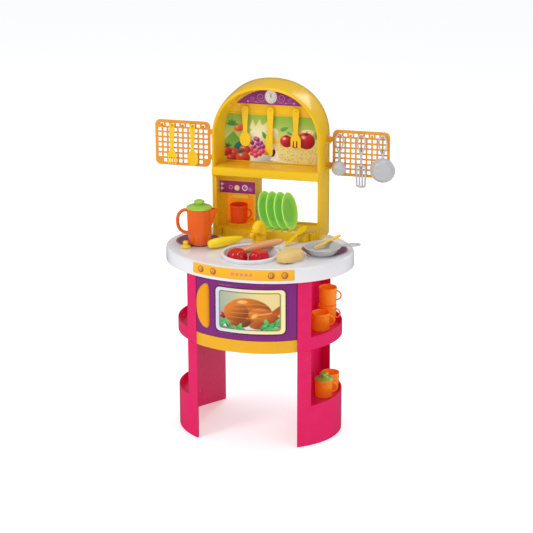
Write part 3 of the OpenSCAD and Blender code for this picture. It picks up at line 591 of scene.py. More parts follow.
def printed(name, node, X, Z, place, colours, keep=None, thick=0.25, body=None):
    """A thin printed sheet: grid X, Z (mm) placed by place(x, z, d) with d the height off the face, coloured per vertex."""
    nz, nx = X.shape
    top = [[None] * nx for _ in range(nz)]
    verts, cols = [], []
    for j in range(nz):
        for i in range(nx):
            top[j][i] = len(verts)
            verts.append(place(X[j, i], Z[j, i], thick)); cols.append(colours[j, i])
    faces = []
    for j in range(nz - 1):
        for i in range(nx - 1):
            q = (top[j][i], top[j][i + 1], top[j + 1][i + 1], top[j + 1][i])
            if keep is None or (keep[j, i] and keep[j, i + 1] and keep[j + 1, i] and keep[j + 1, i + 1]):
                faces.append(q)
    me = bpy.data.meshes.new(name)
    me.from_pydata([P(*v) for v in verts], [], faces)
    at = me.attributes.new("point_colour", "FLOAT_COLOR", "POINT")
    at.data.foreach_set("color", np.concatenate([np.array(cols), np.ones((len(cols), 1))], 1).ravel().astype(np.float32))
    bm = bmesh.new(); bm.from_mesh(me)
    bmesh.ops.delete(bm, geom=[v for v in bm.verts if not v.link_faces], context="VERTS")
    # give the sheet its edge and back
    border = [e for e in bm.edges if len(e.link_faces) == 1]
    ret = bmesh.ops.extrude_edge_only(bm, edges=border)
    newv = [g for g in ret["geom"] if isinstance(g, bmesh.types.BMVert)]
    cx = np.array([v.co[:] for v in bm.verts]).mean(0)
    ax = np.array(place(0, 0, 0)) - np.array(place(0, 0, 1))
    for v in newv:
        v.co += Vector(tuple(ax)) * 0.001 * (thick + 0.15)
    bm.to_mesh(me); bm.free()
    o = bpy.data.objects.new(name, me)
    scene.collection.objects.link(o)
    return finish_piece(o, M["point_colour"], node, body=body, sharp=0)


def grid(x0, x1, z0, z1, step):
    nx, nz = max(2, int(round((x1 - x0) / step)) + 1), max(2, int(round((z1 - z0) / step)) + 1)
    return np.meshgrid(np.linspace(x0, x1, nx), np.linspace(z0, z1, nz))


A0, B0 = 240.4, 196.7          # oval of the towers and oven front


def on_oval(a, b, x, z, d):
    """A point at sideways place x on the front of an oval, d mm in front of it."""
    x = max(-a * 0.999, min(a * 0.999, x))
    y = -b * math.sqrt(1 - (x / a) ** 2)
    n = Vector((x / a ** 2, y / b ** 2, 0)).normalized()
    return (x + n.x * d, y + n.y * d, z)


def rr_dist(X, Z, x0, x1, z0, z1, r):
    """Signed distance to a rounded rectangle, negative inside."""
    cx, cz, hx, hz = (x0 + x1) / 2, (z0 + z1) / 2, (x1 - x0) / 2, (z1 - z0) / 2
    qx, qz = np.abs(X - cx) - (hx - r), np.abs(Z - cz) - (hz - r)
    return np.hypot(np.maximum(qx, 0), np.maximum(qz, 0)) + np.minimum(np.maximum(qx, qz), 0) - r


# food picture behind the hanging cutlery
def arch_half(z, w=156.0, zc=838.0, h=154.0):
    if z <= zc:
        return w
    s = min(1.0, (z - zc) / h)
    t = s ** 2.12
    return w * max(0.0, (1 - t)) ** (1 / 2.12)


def food_picture():
    X, Z = grid(-140, 140, 752, 898, 1.25)
    A = Art(X, Z, (190, 215, 90))
    A.grad(800, 898, (222, 226, 130), (150, 190, 62))
    A.blob(0, 905, 150, 30, 0, (170, 205, 80), (140, 185, 60), soft=0.9)
    # pale cabbage and pastry at the back
    for k, (cx, cz, r, rot) in enumerate([(-38, 838, 34, 20), (-22, 850, 30, -10), (-30, 822, 34, 40), (2, 836, 28, 60), (106, 846, 26, 10)]):
        A.blob(cx, cz, r, r * 0.62, rot, (250, 246, 205), (222, 205, 120), soft=0.1)
        for q in range(3):
            A.line([(cx - r * 0.6 + q * r * 0.4, cz - r * 0.35), (cx - r * 0.3 + q * r * 0.42, cz + r * 0.42)], 1.2, (214, 205, 120), 1.6)
    A.poly([(-64, 858), (-54, 884), (-46, 862), (-34, 886), (-26, 864), (-10, 882), (-6, 856), (-40, 836)], (244, 240, 190), (226, 214, 130))
    # leaf cloth at the left and carrots
    A.poly([(-139, 818), (-112, 846), (-84, 812), (-108, 784), (-139, 800)], (150, 196, 74), (116, 172, 60), 1, 0.4, 24)
    for q in range(6):
        A.line([(-136 + q * 8, 812 + q * 4 - 8), (-112 + q * 5, 790 + q * 6 - 4)], 0.8, (176, 214, 110), 1.4)
    A.blob(-95, 856, 17, 12, 20, (246, 130, 50), (206, 78, 20), gloss=0.5)
    for a in (10, 50, 90, 130, 170):
        A.poly(leaf(-116 + 8 * math.cos(math.radians(a)), 864 + 8 * math.sin(math.radians(a)), 20, 8, a), (52, 128, 58), (96, 170, 76))
    A.poly(leaf(-20, 838, 26, 11, 120), (60, 140, 50), (120, 184, 70))
    A.poly(leaf(40, 860, 26, 11, 25), (60, 140, 60), (130, 190, 90))
    # bowl with grapes in the middle
    A.blob(-28, 768, 34, 22, 0, (248, 248, 244), (176, 182, 170), soft=0.06)
    A.blob(10, 806, 20, 26, 30, (250, 206, 60), (226, 150, 30), gloss=0.4)
    A.blob(-14, 790, 16, 12, 0, (248, 170, 60), (214, 116, 30), gloss=0.3)
    for (cx, cz) in [(-46, 826), (-56, 814), (-40, 812), (-50, 802), (-34, 800), (-30, 814), (-24, 804), (-40, 824)]:
        A.blob(cx, cz, 8, 8, 0, (206, 70, 160), (120, 20, 90), soft=0.2, gloss=0.6)
    for (cx, cz) in [(-44, 790), (-56, 782), (-34, 782), (-46, 776), (-26, 790), (-60, 794)]:
        A.blob(cx, cz, 9, 9, 0, (246, 96, 120), (190, 30, 60), soft=0.2, gloss=0.6)
    # dark leaf and tomatoes lower left
    A.blob(-96, 800, 20, 13, 50, (40, 130, 130), (16, 80, 90))
    for (cx, cz, r) in [(-78, 792, 17), (-112, 776, 22), (-134, 784, 18), (-84, 768, 22), (-120, 764, 14)]:
        A.blob(cx, cz, r, r * 0.86, 0, (244, 92, 60), (176, 24, 24), soft=0.07, gloss=0.7)
        A.ring(cx, cz, r * 0.55, r * 0.7, 1.0, (210, 50, 36))
    for (cx, cz) in [(-128, 800), (-84, 786), (-90, 784)]:
        for a in (20, 80, 140, 200):
            A.poly(leaf(cx + 5 * math.cos(math.radians(a)), cz + 4 * math.sin(math.radians(a)), 14, 5, a), (26, 84, 40), (60, 130, 60))
    # loaf on a cloth at the right
    A.poly([(-4, 764), (140, 752), (140, 800), (96, 808), (18, 800)], (252, 252, 248), (210, 206, 196), 1, 0, 60)
    A.poly([(10, 812), (24, 766), (128, 753), (138, 806), (96, 822), (40, 828)], (246, 232, 150), (228, 200, 96), 0.3, 1, 36)
    rng = np.random.RandomState(5)
    for _ in range(320):
        cx, cz = 14 + rng.rand() * 122, 757 + rng.rand() * 62
        if inside(np.array([cx]), np.array([cz]), [(14, 808), (26, 768), (126, 756), (136, 802), (96, 818), (40, 824)])[0]:
            lt = rng.rand() > 0.5
            A.blob(cx, cz, 1.8 + rng.rand() * 1.6, 1.2 + rng.rand(), rng.rand() * 90, (254, 248, 196) if lt else (218, 190, 92), (238, 220, 130) if lt else (206, 176, 84), soft=0.5)
    A.line([(8, 812), (24, 766), (2, 776), (8, 812)], 3.0, (250, 250, 246))
    A.blob(6, 786, 7, 13, -20, (96, 50, 40), (60, 26, 24), soft=0.2)
    # apples
    A.blob(78, 838, 26, 20, 10, (250, 214, 110), (226, 172, 60), gloss=0.3)
    for (cx, cz, r) in [(46, 824, 20), (70, 818, 14), (104, 828, 27)]:
        A.blob(cx, cz, r, r * 0.94, 0, (228, 44, 40), (150, 10, 20), soft=0.06, gloss=0.75)
        A.blob(cx, cz + r * 0.72, r * 0.28, r * 0.12, 0, (130, 20, 20), (90, 10, 10), soft=0.4)
        A.line([(cx, cz + r * 0.7), (cx + 2, cz + r * 1.05)], 1.6, (90, 50, 20))
    A.poly(leaf(54, 848, 18, 8, 150), (60, 150, 60), (120, 190, 90))
    A.blob(134, 846, 10, 12, 0, (120, 180, 70), (60, 130, 40), soft=0.2)
    A.ring(134, 846, 6, 7, 1.2, (190, 220, 130))
    half = np.vectorize(lambda z: min(139.0, arch_half(z) - 6))(Z)
    d = rr_dist(X, Z, -139, 139, 753, 897, 12)
    keep = (d <= 0.3) & (np.abs(X) <= half)
    for x in (-75, 0, 75):
        keep &= np.hypot(X - x, Z - 915) > 3.6
    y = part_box("food_picture")[0].y * 1000
    printed("food_picture_print", "food_picture", X, Z, lambda x, z, dd: (x, y + 0.3 - dd, z), A.C, keep)


def clock_picture():
    X, Z = grid(-104, 104, 929, 974.5, 1.0)
    A = Art(X, Z, (150, 52, 136))
    A.grad(925, 976, (158, 58, 142), (138, 44, 126))
    for s in (1, -1):
        A.line(swirl(s * 30, 950, 13, 200, 1.4, s), 0.9, (220, 170, 215), 1.0)
        A.line(swirl(s * 54, 944, 6, 0, 1.1, s), 0.8, (210, 150, 205), 1.0)
        A.line([(s * 18, 936), (s * 40, 934), (s * 62, 938)], 0.8, (205, 150, 205), 1.0)
        A.blob(s * 68, 936, 3, 3, 0, (226, 190, 226), (200, 150, 200))
        A.blob(s * 44, 936, 2, 2, 0, (226, 190, 226), (200, 150, 200))
    A.blob(0, 952.5, 18.5, 21, 0, (200, 200, 210), (170, 170, 184), soft=0.05)
    A.blob(0, 952.5, 17.2, 19.6, 0, (252, 252, 254), (226, 228, 234), soft=0.05)
    for k in range(12):
        a = math.radians(30 * k)
        A.line([(14.5 * math.sin(a), 952.5 + 16.5 * math.cos(a)), (12.2 * math.sin(a), 952.5 + 14 * math.cos(a))], 0.9, (120, 120, 136), 0.9)
    A.line([(0, 952), (-3.6, 963.5)], 1.2, (60, 60, 76), 1.0)
    A.line([(0, 952), (3.0, 965)], 0.9, (60, 60, 76), 1.0)
    A.blob(0, 952, 1.4, 1.4, 0, (60, 60, 76), (60, 60, 76))
    keep = np.hypot(X, Z - 836) <= 138.2
    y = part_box("clock_picture")[0].y * 1000
    printed("clock_picture_print", "clock_picture", X, Z, lambda x, z, dd: (x, y + 0.3 - dd, z), A.C, keep)


def window_picture():
    x0, x1, z0, z1 = -76, 112, 356, 477
    X, Z = grid(x0, x1, z0, z1, 1.1)
    A = Art(X, Z, (226, 214, 160))
    t = smoothstep(-80, 60, X)[..., None]
    A.C = np.array(lin((168, 180, 160))) * (1 - t) + np.array(lin((240, 216, 150))) * t
    sh = smoothstep(438, 356, Z)[..., None] * 0.5
    A.C = A.C * (1 - sh)
    # roast on a bed of leaves
    A.blob(16, 372, 84, 12, 0, (240, 244, 240), (196, 204, 200), soft=0.2)
    A.blob(-62, 398, 13, 11, 0, (206, 60, 96), (120, 14, 50), soft=0.15, gloss=0.6)
    for (cx, cz, rx, rz, rot) in [(18, 417, 65, 40, -6), (-20, 412, 37, 33, 10), (58, 403, 42, 25, -14)]:
        A.blob(cx, cz, rx, rz, rot, (226, 128, 44), (136, 66, 26), soft=0.05)
    A.poly([(78, 416), (101, 434), (107, 430), (105, 414), (98, 406), (84, 400)], (206, 104, 36), (160, 76, 30))
    A.blob(76, 396, 30, 15, -8, (214, 112, 40), (140, 66, 28), soft=0.1)
    for q in range(9):
        A.line([(-46 + q * 3, 386 + q * 6), (-6 + q * 6, 382 + q * 7.4), (40 + q * 4, 386 + q * 6)], 1.1, (170, 88, 36) if q % 2 else (236, 146, 66), 2.6)
    A.blob(0, 444, 19, 7, 4, (252, 206, 120), (238, 160, 70), soft=0.5)
    A.blob(34, 404, 14, 7, 30, (252, 204, 116), (236, 156, 66), soft=0.5)
    A.line([(46, 408), (80, 414)], 4.0, (240, 160, 76), 3.0)
    A.blob(6, 380, 22, 12, 20, (160, 84, 36), (100, 50, 26), soft=0.3)
    A.blob(44, 376, 28, 12, 0, (196, 98, 40), (130, 62, 28), soft=0.15)
    A.blob(-24, 376, 20, 10, 10, (188, 96, 40), (124, 60, 30), soft=0.2)
    for i, (cx, cz, l, w, rot) in enumerate([(-58, 384, 26, 13, 150), (-44, 376, 28, 14, 120), (-62, 374, 24, 12, 30), (-30, 366, 26, 13, 10), (-10, 370, 26, 13, 60),
                                             (-2, 364, 22, 11, 140), (66, 382, 30, 14, 100), (82, 376, 30, 15, 20), (96, 386, 28, 13, 60), (104, 374, 26, 13, 160), (78, 366, 34, 13, 0), (58, 372, 24, 12, 40)]):
        A.poly(leaf(cx, cz, l, w, rot), (24, 120, 60) if i % 2 else (40, 150, 70), (90, 196, 110), 0.3, 1, 10)
        a = math.radians(rot)
        A.line([(cx - l * 0.4 * math.cos(a), cz - l * 0.4 * math.sin(a)), (cx + l * 0.4 * math.cos(a), cz + l * 0.4 * math.sin(a))], 0.8, (150, 220, 150), 1.0)
    # pale border, silver at the left and cream at the right, with a fine dark line
    d = rr_dist(X, Z, x0, x1, z0, z1, 10)
    inner = rr_dist(X, Z, -69.5, 103.5, 361.5, 472, 8)
    tt = smoothstep(-82, 40, X)[..., None]
    rim = np.array(lin((214, 224, 230))) * (1 - tt) + np.array(lin((250, 232, 160))) * tt
    A.put(smoothstep(-0.4, 0.6, inner), rim)
    A.put(1 - smoothstep(0.8, 1.9, np.abs(inner + 0.3)), np.array(lin((128, 124, 84))))
    edge = smoothstep(-5.0, -1.0, d) * 0.35
    A.put(edge, np.array(lin((196, 200, 196))))
    a_, b_ = A0 - 1.0, B0 - 1.0
    printed("window_picture_print", "window_picture", X, Z, lambda x, z, dd: on_oval(a_, b_, x, z, dd + 0.8), A.C, d <= 0.3)


def control_label():
    X, Z = grid(-149, 143.2, 512, 543, 1.0)
    A = Art(X, Z, (250, 182, 38))
    A.grad(508, 546, (248, 176, 34), (253, 188, 44))
    zc = 527.5
    for k, x in enumerate((-124, -85, 82, 118)):
        A.blob(x, zc, 9.4, 10.2, 0, (232, 146, 48), (172, 92, 32), soft=0.12)
        A.ring(x, zc, 8.5, 9.3, 1.4, (164, 88, 32))
        A.blob(x - 1.0, zc + 1.0, 6.4, 7.0, 0, (246, 176, 74), (214, 132, 48), soft=0.3)
        for dx in (-1.6, 1.6):
            A.line([(x + dx, zc - 5.4), (x + dx, zc + 5.4)], 1.0, (170, 92, 34), 0.9)
        A.line([(x, zc - 5.2), (x, zc + 5.2)], 1.4, (250, 200, 110), 0.9)
    # a plain row of small flowers in the middle
    for i, x in enumerate((-27, -14, -1, 12, 25)):
        for a in range(5):
            t = math.radians(90 + 72 * a)
            A.blob(x + 2.7 * math.cos(t), zc + 2.7 * math.sin(t), 2.3, 2.3, 0, (236, 120, 150), (206, 70, 110), soft=0.3)
        A.blob(x, zc, 1.6, 1.6, 0, (255, 236, 150), (250, 210, 90), soft=0.3)
    a_, b_ = 273.0, 204.0
    printed("control_label_print", "control_label", X, Z, lambda x, z, dd: on_oval(a_, b_, x, z, dd + 0.35), A.C, rr_dist(X, Z, -149, 143.2, 512, 543, 2.5) <= 0.3)


def drinks_label():
    X, Z = grid(-145.5, -39, 668.5, 704.5, 0.9)
    A = Art(X, Z, (156, 44, 116))
    A.grad(664, 706, (146, 36, 108), (164, 50, 122))
    for z in (694, 681):
        A.poly([(-143, z), (-139, z + 5.5), (-137, z + 2), (-131, z), (-137, z - 2), (-139, z - 5.5)], (240, 232, 244))
        A.line([(-139, z + 9), (-139, z - 9)], 0.9, (230, 220, 236), 0.9)
    A.ring(-112, 685.5, 5.0, 5.4, 1.6, (236, 150, 200))
    A.blob(-93.5, 684.5, 8, 8.4, 0, (252, 244, 190), (232, 220, 150), soft=0.1)
    A.ring(-93.5, 684.5, 3.4, 3.6, 1.0, (190, 180, 90))
    A.ring(-70, 686, 7.0, 7.6, 2.2, (250, 240, 250))
    A.line([(-70, 686), (-67, 690)], 1.6, (250, 240, 250), 1.0)
    A.line(swirl(-54, 683, 6, 200, 0.9, -1), 1.1, (232, 160, 214), 1.0)
    for q in range(5):
        a = math.radians(72 * q)
        A.line([(-54, 683), (-54 + 8 * math.cos(a), 683 + 8 * math.sin(a))], 0.8, (214, 140, 200), 1.0)
    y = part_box("drinks_label")[0].y * 1000
    printed("drinks_label_print", "drinks_label", X, Z, lambda x, z, dd: (x, y + 0.35 - dd, z), A.C)


food_picture()
clock_picture()
window_picture()
control_label()
drinks_label()


# ------------------------------------------------------------------ the mouldings that keep the design's own solids
def set_point_colours(o, fn):
    """Colour a mesh point by point: fn(x, y, z in mm) gives an sRGB colour."""
    me = o.data
    co = np.zeros(len(me.vertices) * 3, np.float32); me.vertices.foreach_get("co", co)
    co = co.reshape(-1, 3) * 1000.0; co[:, 0] -= SX
    at = me.attributes.new("point_colour", "FLOAT_COLOR", "POINT")
    at.data.foreach_set("color", np.concatenate([fn(co), np.ones((len(co), 1))], 1).ravel().astype(np.float32))


for n in ("left_tower_lower", "left_tower_upper", "right_tower_lower", "right_tower_upper"):
    dress(n, M["pink"], 1.2, 3)
dress("tower_clips", M["pink"], 0.4, 2)
dress("oven_housing", M["dark"], 1.0, 2)
dress("oven_band", M["yellow_deep"], 1.5, 3)
dress("door_hinge_pins", M["pins"], 0.3, 2)
dress("oven_door", M["purple"], 1.2, 3)
dress("plate_stand", M["yellow"], 1.0, 2)
dress("drinks_machine", M["machine"], 1.6, 3)
dress("back_panel", M["yellow"], 0.8, 2)
dress("rack_brackets", M["yellow"], 0.8, 2)
dress("left_rack", M["orange"], 0.8, 2)
dress("right_rack", M["orange"], 0.8, 2)
dress("faucet_base", M["yellow"], 1.0, 3)
for n in ("food_picture", "clock_picture", "drinks_label"):
    for sl in frame["nodes"][n].material_slots:
        sl.material = M["yellow"]


# ------------------------------------------------------------------ worktop with its skirt, sink and hobs
def worktop_piece():
    n = 176
    TA, TB = 273.0, 204.0

    def ring(d, z):
        out = []
        for i in range(n):
            t = 2 * math.pi * i / n
            x, y = TA * math.cos(t), TB * math.sin(t)
            nx, ny = math.cos(t) / TA, math.sin(t) / TB
            l = math.hypot(nx, ny)
            out.append((x - nx / l * d, y - ny / l * d, z))
        return out

    bm = bmesh.new()

    def add(loop):
        return [bm.verts.new(P(*p)) for p in loop]

    def bridge(a, b):
        k = len(a)
        for i in range(k):
            bm.faces.new((a[i], a[(i + 1) % k], b[(i + 1) % k], b[i]))

    prof = [(3.2, 543.0), (3.2, 505.0), (2.6, 503.6), (1.6, 503.0), (0.6, 503.6), (0.0, 505.0), (0.0, 538.5)]
    for i in range(1, 9):
        a = math.radians(90 * i / 8)
        prof.append((7.5 - 7.5 * math.cos(a), 538.5 + 7.5 * math.sin(a)))
    rings = [add(ring(d, z)) for d, z in prof]
    for a, b in zip(rings[:-1], rings[1:]):
        bridge(a, b)
    outer = rings[-1]
    holes = []
    for (cx, cy, r, zb) in [(186, 18, 66.0, 544.4), (-186, 18, 66.0, 544.4)]:
        k = 96
        loops = []
        for rr, z in [(r + 1.2, 546.0), (r + 0.4, 545.7), (r, 545.1), (r, zb), (r - 6, zb)]:
            loops.append(add([(cx + rr * math.cos(2 * math.pi * i / k), cy + rr * math.sin(2 * math.pi * i / k), z) for i in range(k)]))
        for a, b in zip(loops[:-1], loops[1:]):
            bridge(a, b)
        c = bm.verts.new(P(cx, cy, zb))
        for i in range(k):
            bm.faces.new((loops[-1][i], loops[-1][(i + 1) % k], c))
        holes.append(loops[0])
    k = 120
    loops = []
    for rr, z in [(80.5, 546.0), (79.4, 545.6), (79.0, 544.9), (79.0, 543.0)]:
        loops.append(add([(-6 + rr * math.cos(2 * math.pi * i / k), -85 + rr * math.sin(2 * math.pi * i / k), z) for i in range(k)]))
    for a, b in zip(loops[:-1], loops[1:]):
        bridge(a, b)
    holes.append(loops[0])
    edges = []
    for loop in [outer] + holes:
        for i in range(len(loop)):
            e = bm.edges.get((loop[i], loop[(i + 1) % len(loop)]))
            edges.append(e)
    bmesh.ops.triangle_fill(bm, edges=edges, use_dissolve=False, use_beauty=True, normal=(0, 0, 1))
    # the deck's flat underside
    low_edges = []
    for loop in [rings[0], loops[-1]]:
        for i in range(len(loop)):
            low_edges.append(bm.edges.get((loop[i], loop[(i + 1) % len(loop)])))
    bmesh.ops.triangle_fill(bm, edges=low_edges, use_dissolve=False, use_beauty=True, normal=(0, 0, -1))
    bmesh.ops.delete(bm, geom=[v for v in bm.verts if not v.link_faces], context="VERTS")
    bmesh.ops.recalc_face_normals(bm, faces=bm.faces)
    me = bpy.data.meshes.new("worktop_moulding")
    bm.to_mesh(me); bm.free()
    o = bpy.data.objects.new("worktop_moulding", me)
    scene.collection.objects.link(o)
    finish_piece(o, M["white"], "worktop", sharp=30)
    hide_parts("worktop_skirt")
    # door pin boss and its web, and the drainer's raised edge
    boss = lathe([(0, 503.6), (5.4, 503.6), (6, 504.2), (6, 543.5), (0, 543.5)], 40)
    web = prism([(139.5, -173.0), (142.5, -173.0), (142.5, -158.0), (139.5, -158.0)], 503.6, 543.5, "xy")
    piece("worktop_pin_boss", join(move(boss, T(141, -154.8, 0)), web), M["white"], body="root")
    path = []
    for i in range(72):
        t = 2 * math.pi * i / 72
        path.append((118 + 34 * math.cos(t), -72 + 54 * math.sin(t), 546.2))
    piece("drainer_edge", tube(path, 2.4, 14, closed=True, flat=1.15, up=(0, 0, 1)), M["white"], body="root", sharp=60)


def arc_profile(cx, cz, r, a0, a1, n):
    return [(cx + r * math.cos(math.radians(a0 + (a1 - a0) * i / n)), cz + r * math.sin(math.radians(a0 + (a1 - a0) * i / n))) for i in range(n + 1)]


worktop_piece()
# sink basin: bowl, thick rounded rim that rests on the deck, and a small drain
rim = arc_profile(79.2, 550.6, 5.4, 205, -25, 12)
sink = [(0, 508.9), (5, 508.9), (5.4, 508.3), (6.6, 508.3), (7.2, 508.9), (49, 509.0), (55, 510.2), (59.0, 514.0), (61.5, 521.0), (73.6, 545.6)] + rim + [(85.0, 546.25), (78.6, 546.1), (77.5, 543.0), (60.5, 507.0), (57, 506.2), (0, 506.2)]
piece("sink_bowl", move(lathe(sink, 128), T(-6, -85, 0)), M["white"], "sink_basin", sharp=28)

# hob plates: printed plum discs with paler rings
def hob_colours(co):
    cx = np.where(co[:, 0] > 0, 186.0, -186.0)
    r = np.hypot(co[:, 0] - cx, co[:, 1] - 18.0)
    base = np.array(lin((122, 56, 92)))[None, :] * np.ones((len(co), 1))
    pale = np.array(lin((176, 128, 156)))
    for r0, w in ((62.5, 1.6), (44.0, 0.9), (24.0, 0.9)):
        m = (1 - smoothstep(w * 0.5, w, np.abs(r - r0)))[:, None] * (0.75 if r0 > 60 else 0.35)
        base = base * (1 - m) + pale * m
    return base


def hobs():
    radii = [0.0] + [float(v) for v in np.arange(1.0, 65.4, 0.8)] + [65.5]
    prof = [(r, 545.3 + (0.35 if 60.0 < r < 64.5 else 0.0)) for r in radii] + [(65.5, 544.6), (0, 544.6)]
    v = join(move(lathe(prof, 96), T(186, 18, 0)), move(lathe(prof, 96), T(-186, 18, 0)))
    o = mesh_mm("hob_plates", *v)
    set_point_colours(o, hob_colours)
    finish_piece(o, M["point_colour"], "hob_discs", sharp=40)


hobs()


# ------------------------------------------------------------------ arch and shelf
def sp(v, p):
    return math.copysign(abs(v) ** p, v)


def arch_path(nn, n=64):
    """Arch outline nn mm inside the outer one, from the right foot over the top to the left foot."""
    w, h = 164.5 - nn, 162.0 - nn
    legs = (546.0, 640.0, 742.0, 750.0)
    pts = [(w, z) for z in legs]
    pts += [(w * sp(math.cos(math.pi * i / n), 2 / 2.12), 838.0 + h * abs(math.sin(math.pi * i / n)) ** (2 / 2.12)) for i in range(n + 1)]
    return pts + [(-w, z) for z in reversed(legs)]


def arch_piece():
    # sections: (inset from the outer outline, y), slim on the legs and fat above the shelf
    def section(wd, y0, inner):
        out = [(0, 176.5), (0, 150)]
        out += [(wd - wd * math.cos(math.radians(t)), 150 - (150 - y0) * math.sin(math.radians(t))) for t in range(10, 91, 10)]
        return out + inner + [(7.2, 178.0), (0.8, 178.0)]
    slim = section(8.0, 67.5, [(10.0, 68.3), (11.7, 70.6), (12.3, 74.0), (12.3, 84), (10.2, 96), (8.6, 112), (8.0, 128), (8.0, 150), (8.0, 176.5)])
    fat = section(8.5, 66.0, [(10.6, 66.7), (12.5, 69.0), (13.9, 73.5), (15.6, 84), (18.6, 100), (22.6, 120), (26.0, 137), (8.0, 140), (8.0, 176.5)])
    k, m = len(slim), len(arch_path(0))
    sp_, fp_ = [arch_path(q) for q, _ in slim], [arch_path(q) for q, _ in fat]
    verts = []
    for j in range(m):
        leg = j < 3 or j >= m - 3
        verts += [((sp_ if leg else fp_)[i][j][0], (slim if leg else fat)[i][1], (sp_ if leg else fp_)[i][j][1]) for i in range(k)]
    faces = [(j * k + i, j * k + (i + 1) % k, (j + 1) * k + (i + 1) % k, (j + 1) * k + i) for j in range(m - 1) for i in range(k)]
    faces += [tuple(range(k)), tuple(range((m - 1) * k + k - 1, (m - 1) * k - 1, -1))]
    piece("arch_moulding", (verts, faces), M["yellow"], "arch_frame", sharp=40)


arch_piece()


def shelf_piece():
    pts = [(58.5 + 9, 756.0), (178, 756), (178, 751), (69, 751), (66, 748), (66, 733), (63, 730.2), (62, 730)]
    front = [(58 + 9 - 9 * math.sin(math.radians(a)), 747 + 9 * math.cos(math.radians(a))) for a in range(0, 91, 10)]
    foot = [(58.0, 736), (59.2, 732), (61.5, 730.2)]
    poly = front + foot + [(64.5, 730), (66, 731.5), (66, 749), (68, 751), (178, 751), (178, 756)]
    # the shelf keeps one section from end to end and reaches into the arch
    k = len(poly)
    xs = [-157.5, -156, -150, 150, 156, 157.5]
    verts, faces = [], []
    for x in xs:
        for y, z in poly:
            verts.append((x, y, z))
    for a in range(len(xs) - 1):
        for i in range(k):
            faces.append((a * k + i, a * k + (i + 1) % k, (a + 1) * k + (i + 1) % k, (a + 1) * k + i))
    faces += [tuple(range(k)), tuple(range((len(xs) - 1) * k + k - 1, (len(xs) - 1) * k - 1, -1))]
    piece("shelf_moulding", (verts, faces), M["yellow"], "shelf_board", bev=1.0, sharp=35)
    # a bead round the picture
    rl = []
    X0, X1, Z0, Z1, r = -141.5, 141.5, 757.6, 900.5, 14
    for (cx, cz, a0) in ((X1 - r, Z1 - r, 0), (X0 + r, Z1 - r, 90), (X0 + r, Z0 + r, 180), (X1 - r, Z0 + r, 270)):
        for i in range(9):
            a = math.radians(a0 + 90 * i / 8)
            rl.append((cx + r * math.cos(a), 136.9, cz + r * math.sin(a)))
    rl = [(max(-arch_half(z) + 8, min(arch_half(z) - 8, x)), y, z) for x, y, z in rl]
    piece("picture_bead", tube(rl, 1.5, 10, closed=True), M["yellow"], body="root", sharp=60)


shelf_piece()


# ------------------------------------------------------------------ oven door: window frame, painted shade of the groove and handle
def rr_loop(g, r, x0=-77.0, x1=113.0, z0=355.0, z1=478.0, n=14):
    cx, cz, hx, hz = (x0 + x1) / 2, (z0 + z1) / 2, (x1 - x0) / 2 + g, (z1 - z0) / 2 + g
    out = []
    for sx, sz, a0 in ((1, 1, 0), (-1, 1, 90), (-1, -1, 180), (1, -1, 270)):
        for i in range(n + 1):
            a = math.radians(a0 + 90 * i / n)
            out.append((cx + sx * (hx - r) + r * math.cos(a), cz + sz * (hz - r) + r * math.sin(a)))
    # extra points on the long sides so that they follow the door's curve
    full = []
    for i in range(len(out)):
        p, q = out[i], out[(i + 1) % len(out)]
        full.append(p)
        L = math.hypot(q[0] - p[0], q[1] - p[1])
        if L > 20:
            c = 16
            full += [(p[0] + (q[0] - p[0]) * j / c, p[1] + (q[1] - p[1]) * j / c) for j in range(1, c)]
    return full


def loft_on_door(rings_, closed=True, out=0.0, cap=False):
    verts, faces = [], []
    k = len(rings_[0][0])
    for loop, h in rings_:
        for x, z in loop:
            verts.append(on_oval(A0 + out, B0 + out, x, z, h))
    m = len(rings_)
    for a in range(m if closed else m - 1):
        b = (a + 1) % m
        for i in range(k):
            faces.append((a * k + i, a * k + (i + 1) % k, b * k + (i + 1) % k, b * k + i))
    return verts, faces


def rim_colour(co):
    t = smoothstep(-82, 60, co[:, 0])[:, None]
    return np.array(lin((214, 224, 234))) * (1 - t) + np.array(lin((250, 236, 176))) * t


def window_pieces():
    sec = [(4.0, 13.0, -1.0), (4.0, 13.0, 0.6), (3.2, 12.4, 1.5), (1.8, 11.5, 1.9), (-0.6, 10.2, 1.9), (-2.4, 9.3, 1.4), (-4.2, 8.6, 0.4), (-5.0, 8.3, -0.6), (-5.0, 8.3, -1.2)]
    o = mesh_mm("window_rim", *loft_on_door([(rr_loop(g, r), h) for g, r, h in sec]))
    set_point_colours(o, rim_colour)
    finish_piece(o, M["point_colour"], "window_frame", sharp=60)
    # painted shade: a dark band round the window for the shadow in its groove, and the groove's raised outer lip
    sec = [(4.1, 13.1, -0.6), (4.1, 13.1, 0.25), (7.6, 16.0, 0.3), (7.6, 16.0, -0.6)]
    piece("window_groove_shade", loft_on_door([(rr_loop(g, r), h) for g, r, h in sec]), M["dark"], body="oven_door", sharp=30)
    sec = [(7.4, 16.0, -0.5), (7.6, 16.0, 0.8), (8.8, 17.0, 1.3), (10.4, 18.4, 0.9), (12.4, 20.0, 0.15), (12.6, 20.2, -0.5)]
    piece("window_lip", loft_on_door([(rr_loop(g, r), h) for g, r, h in sec]), M["purple"], body="oven_door", sharp=60)


window_pieces()


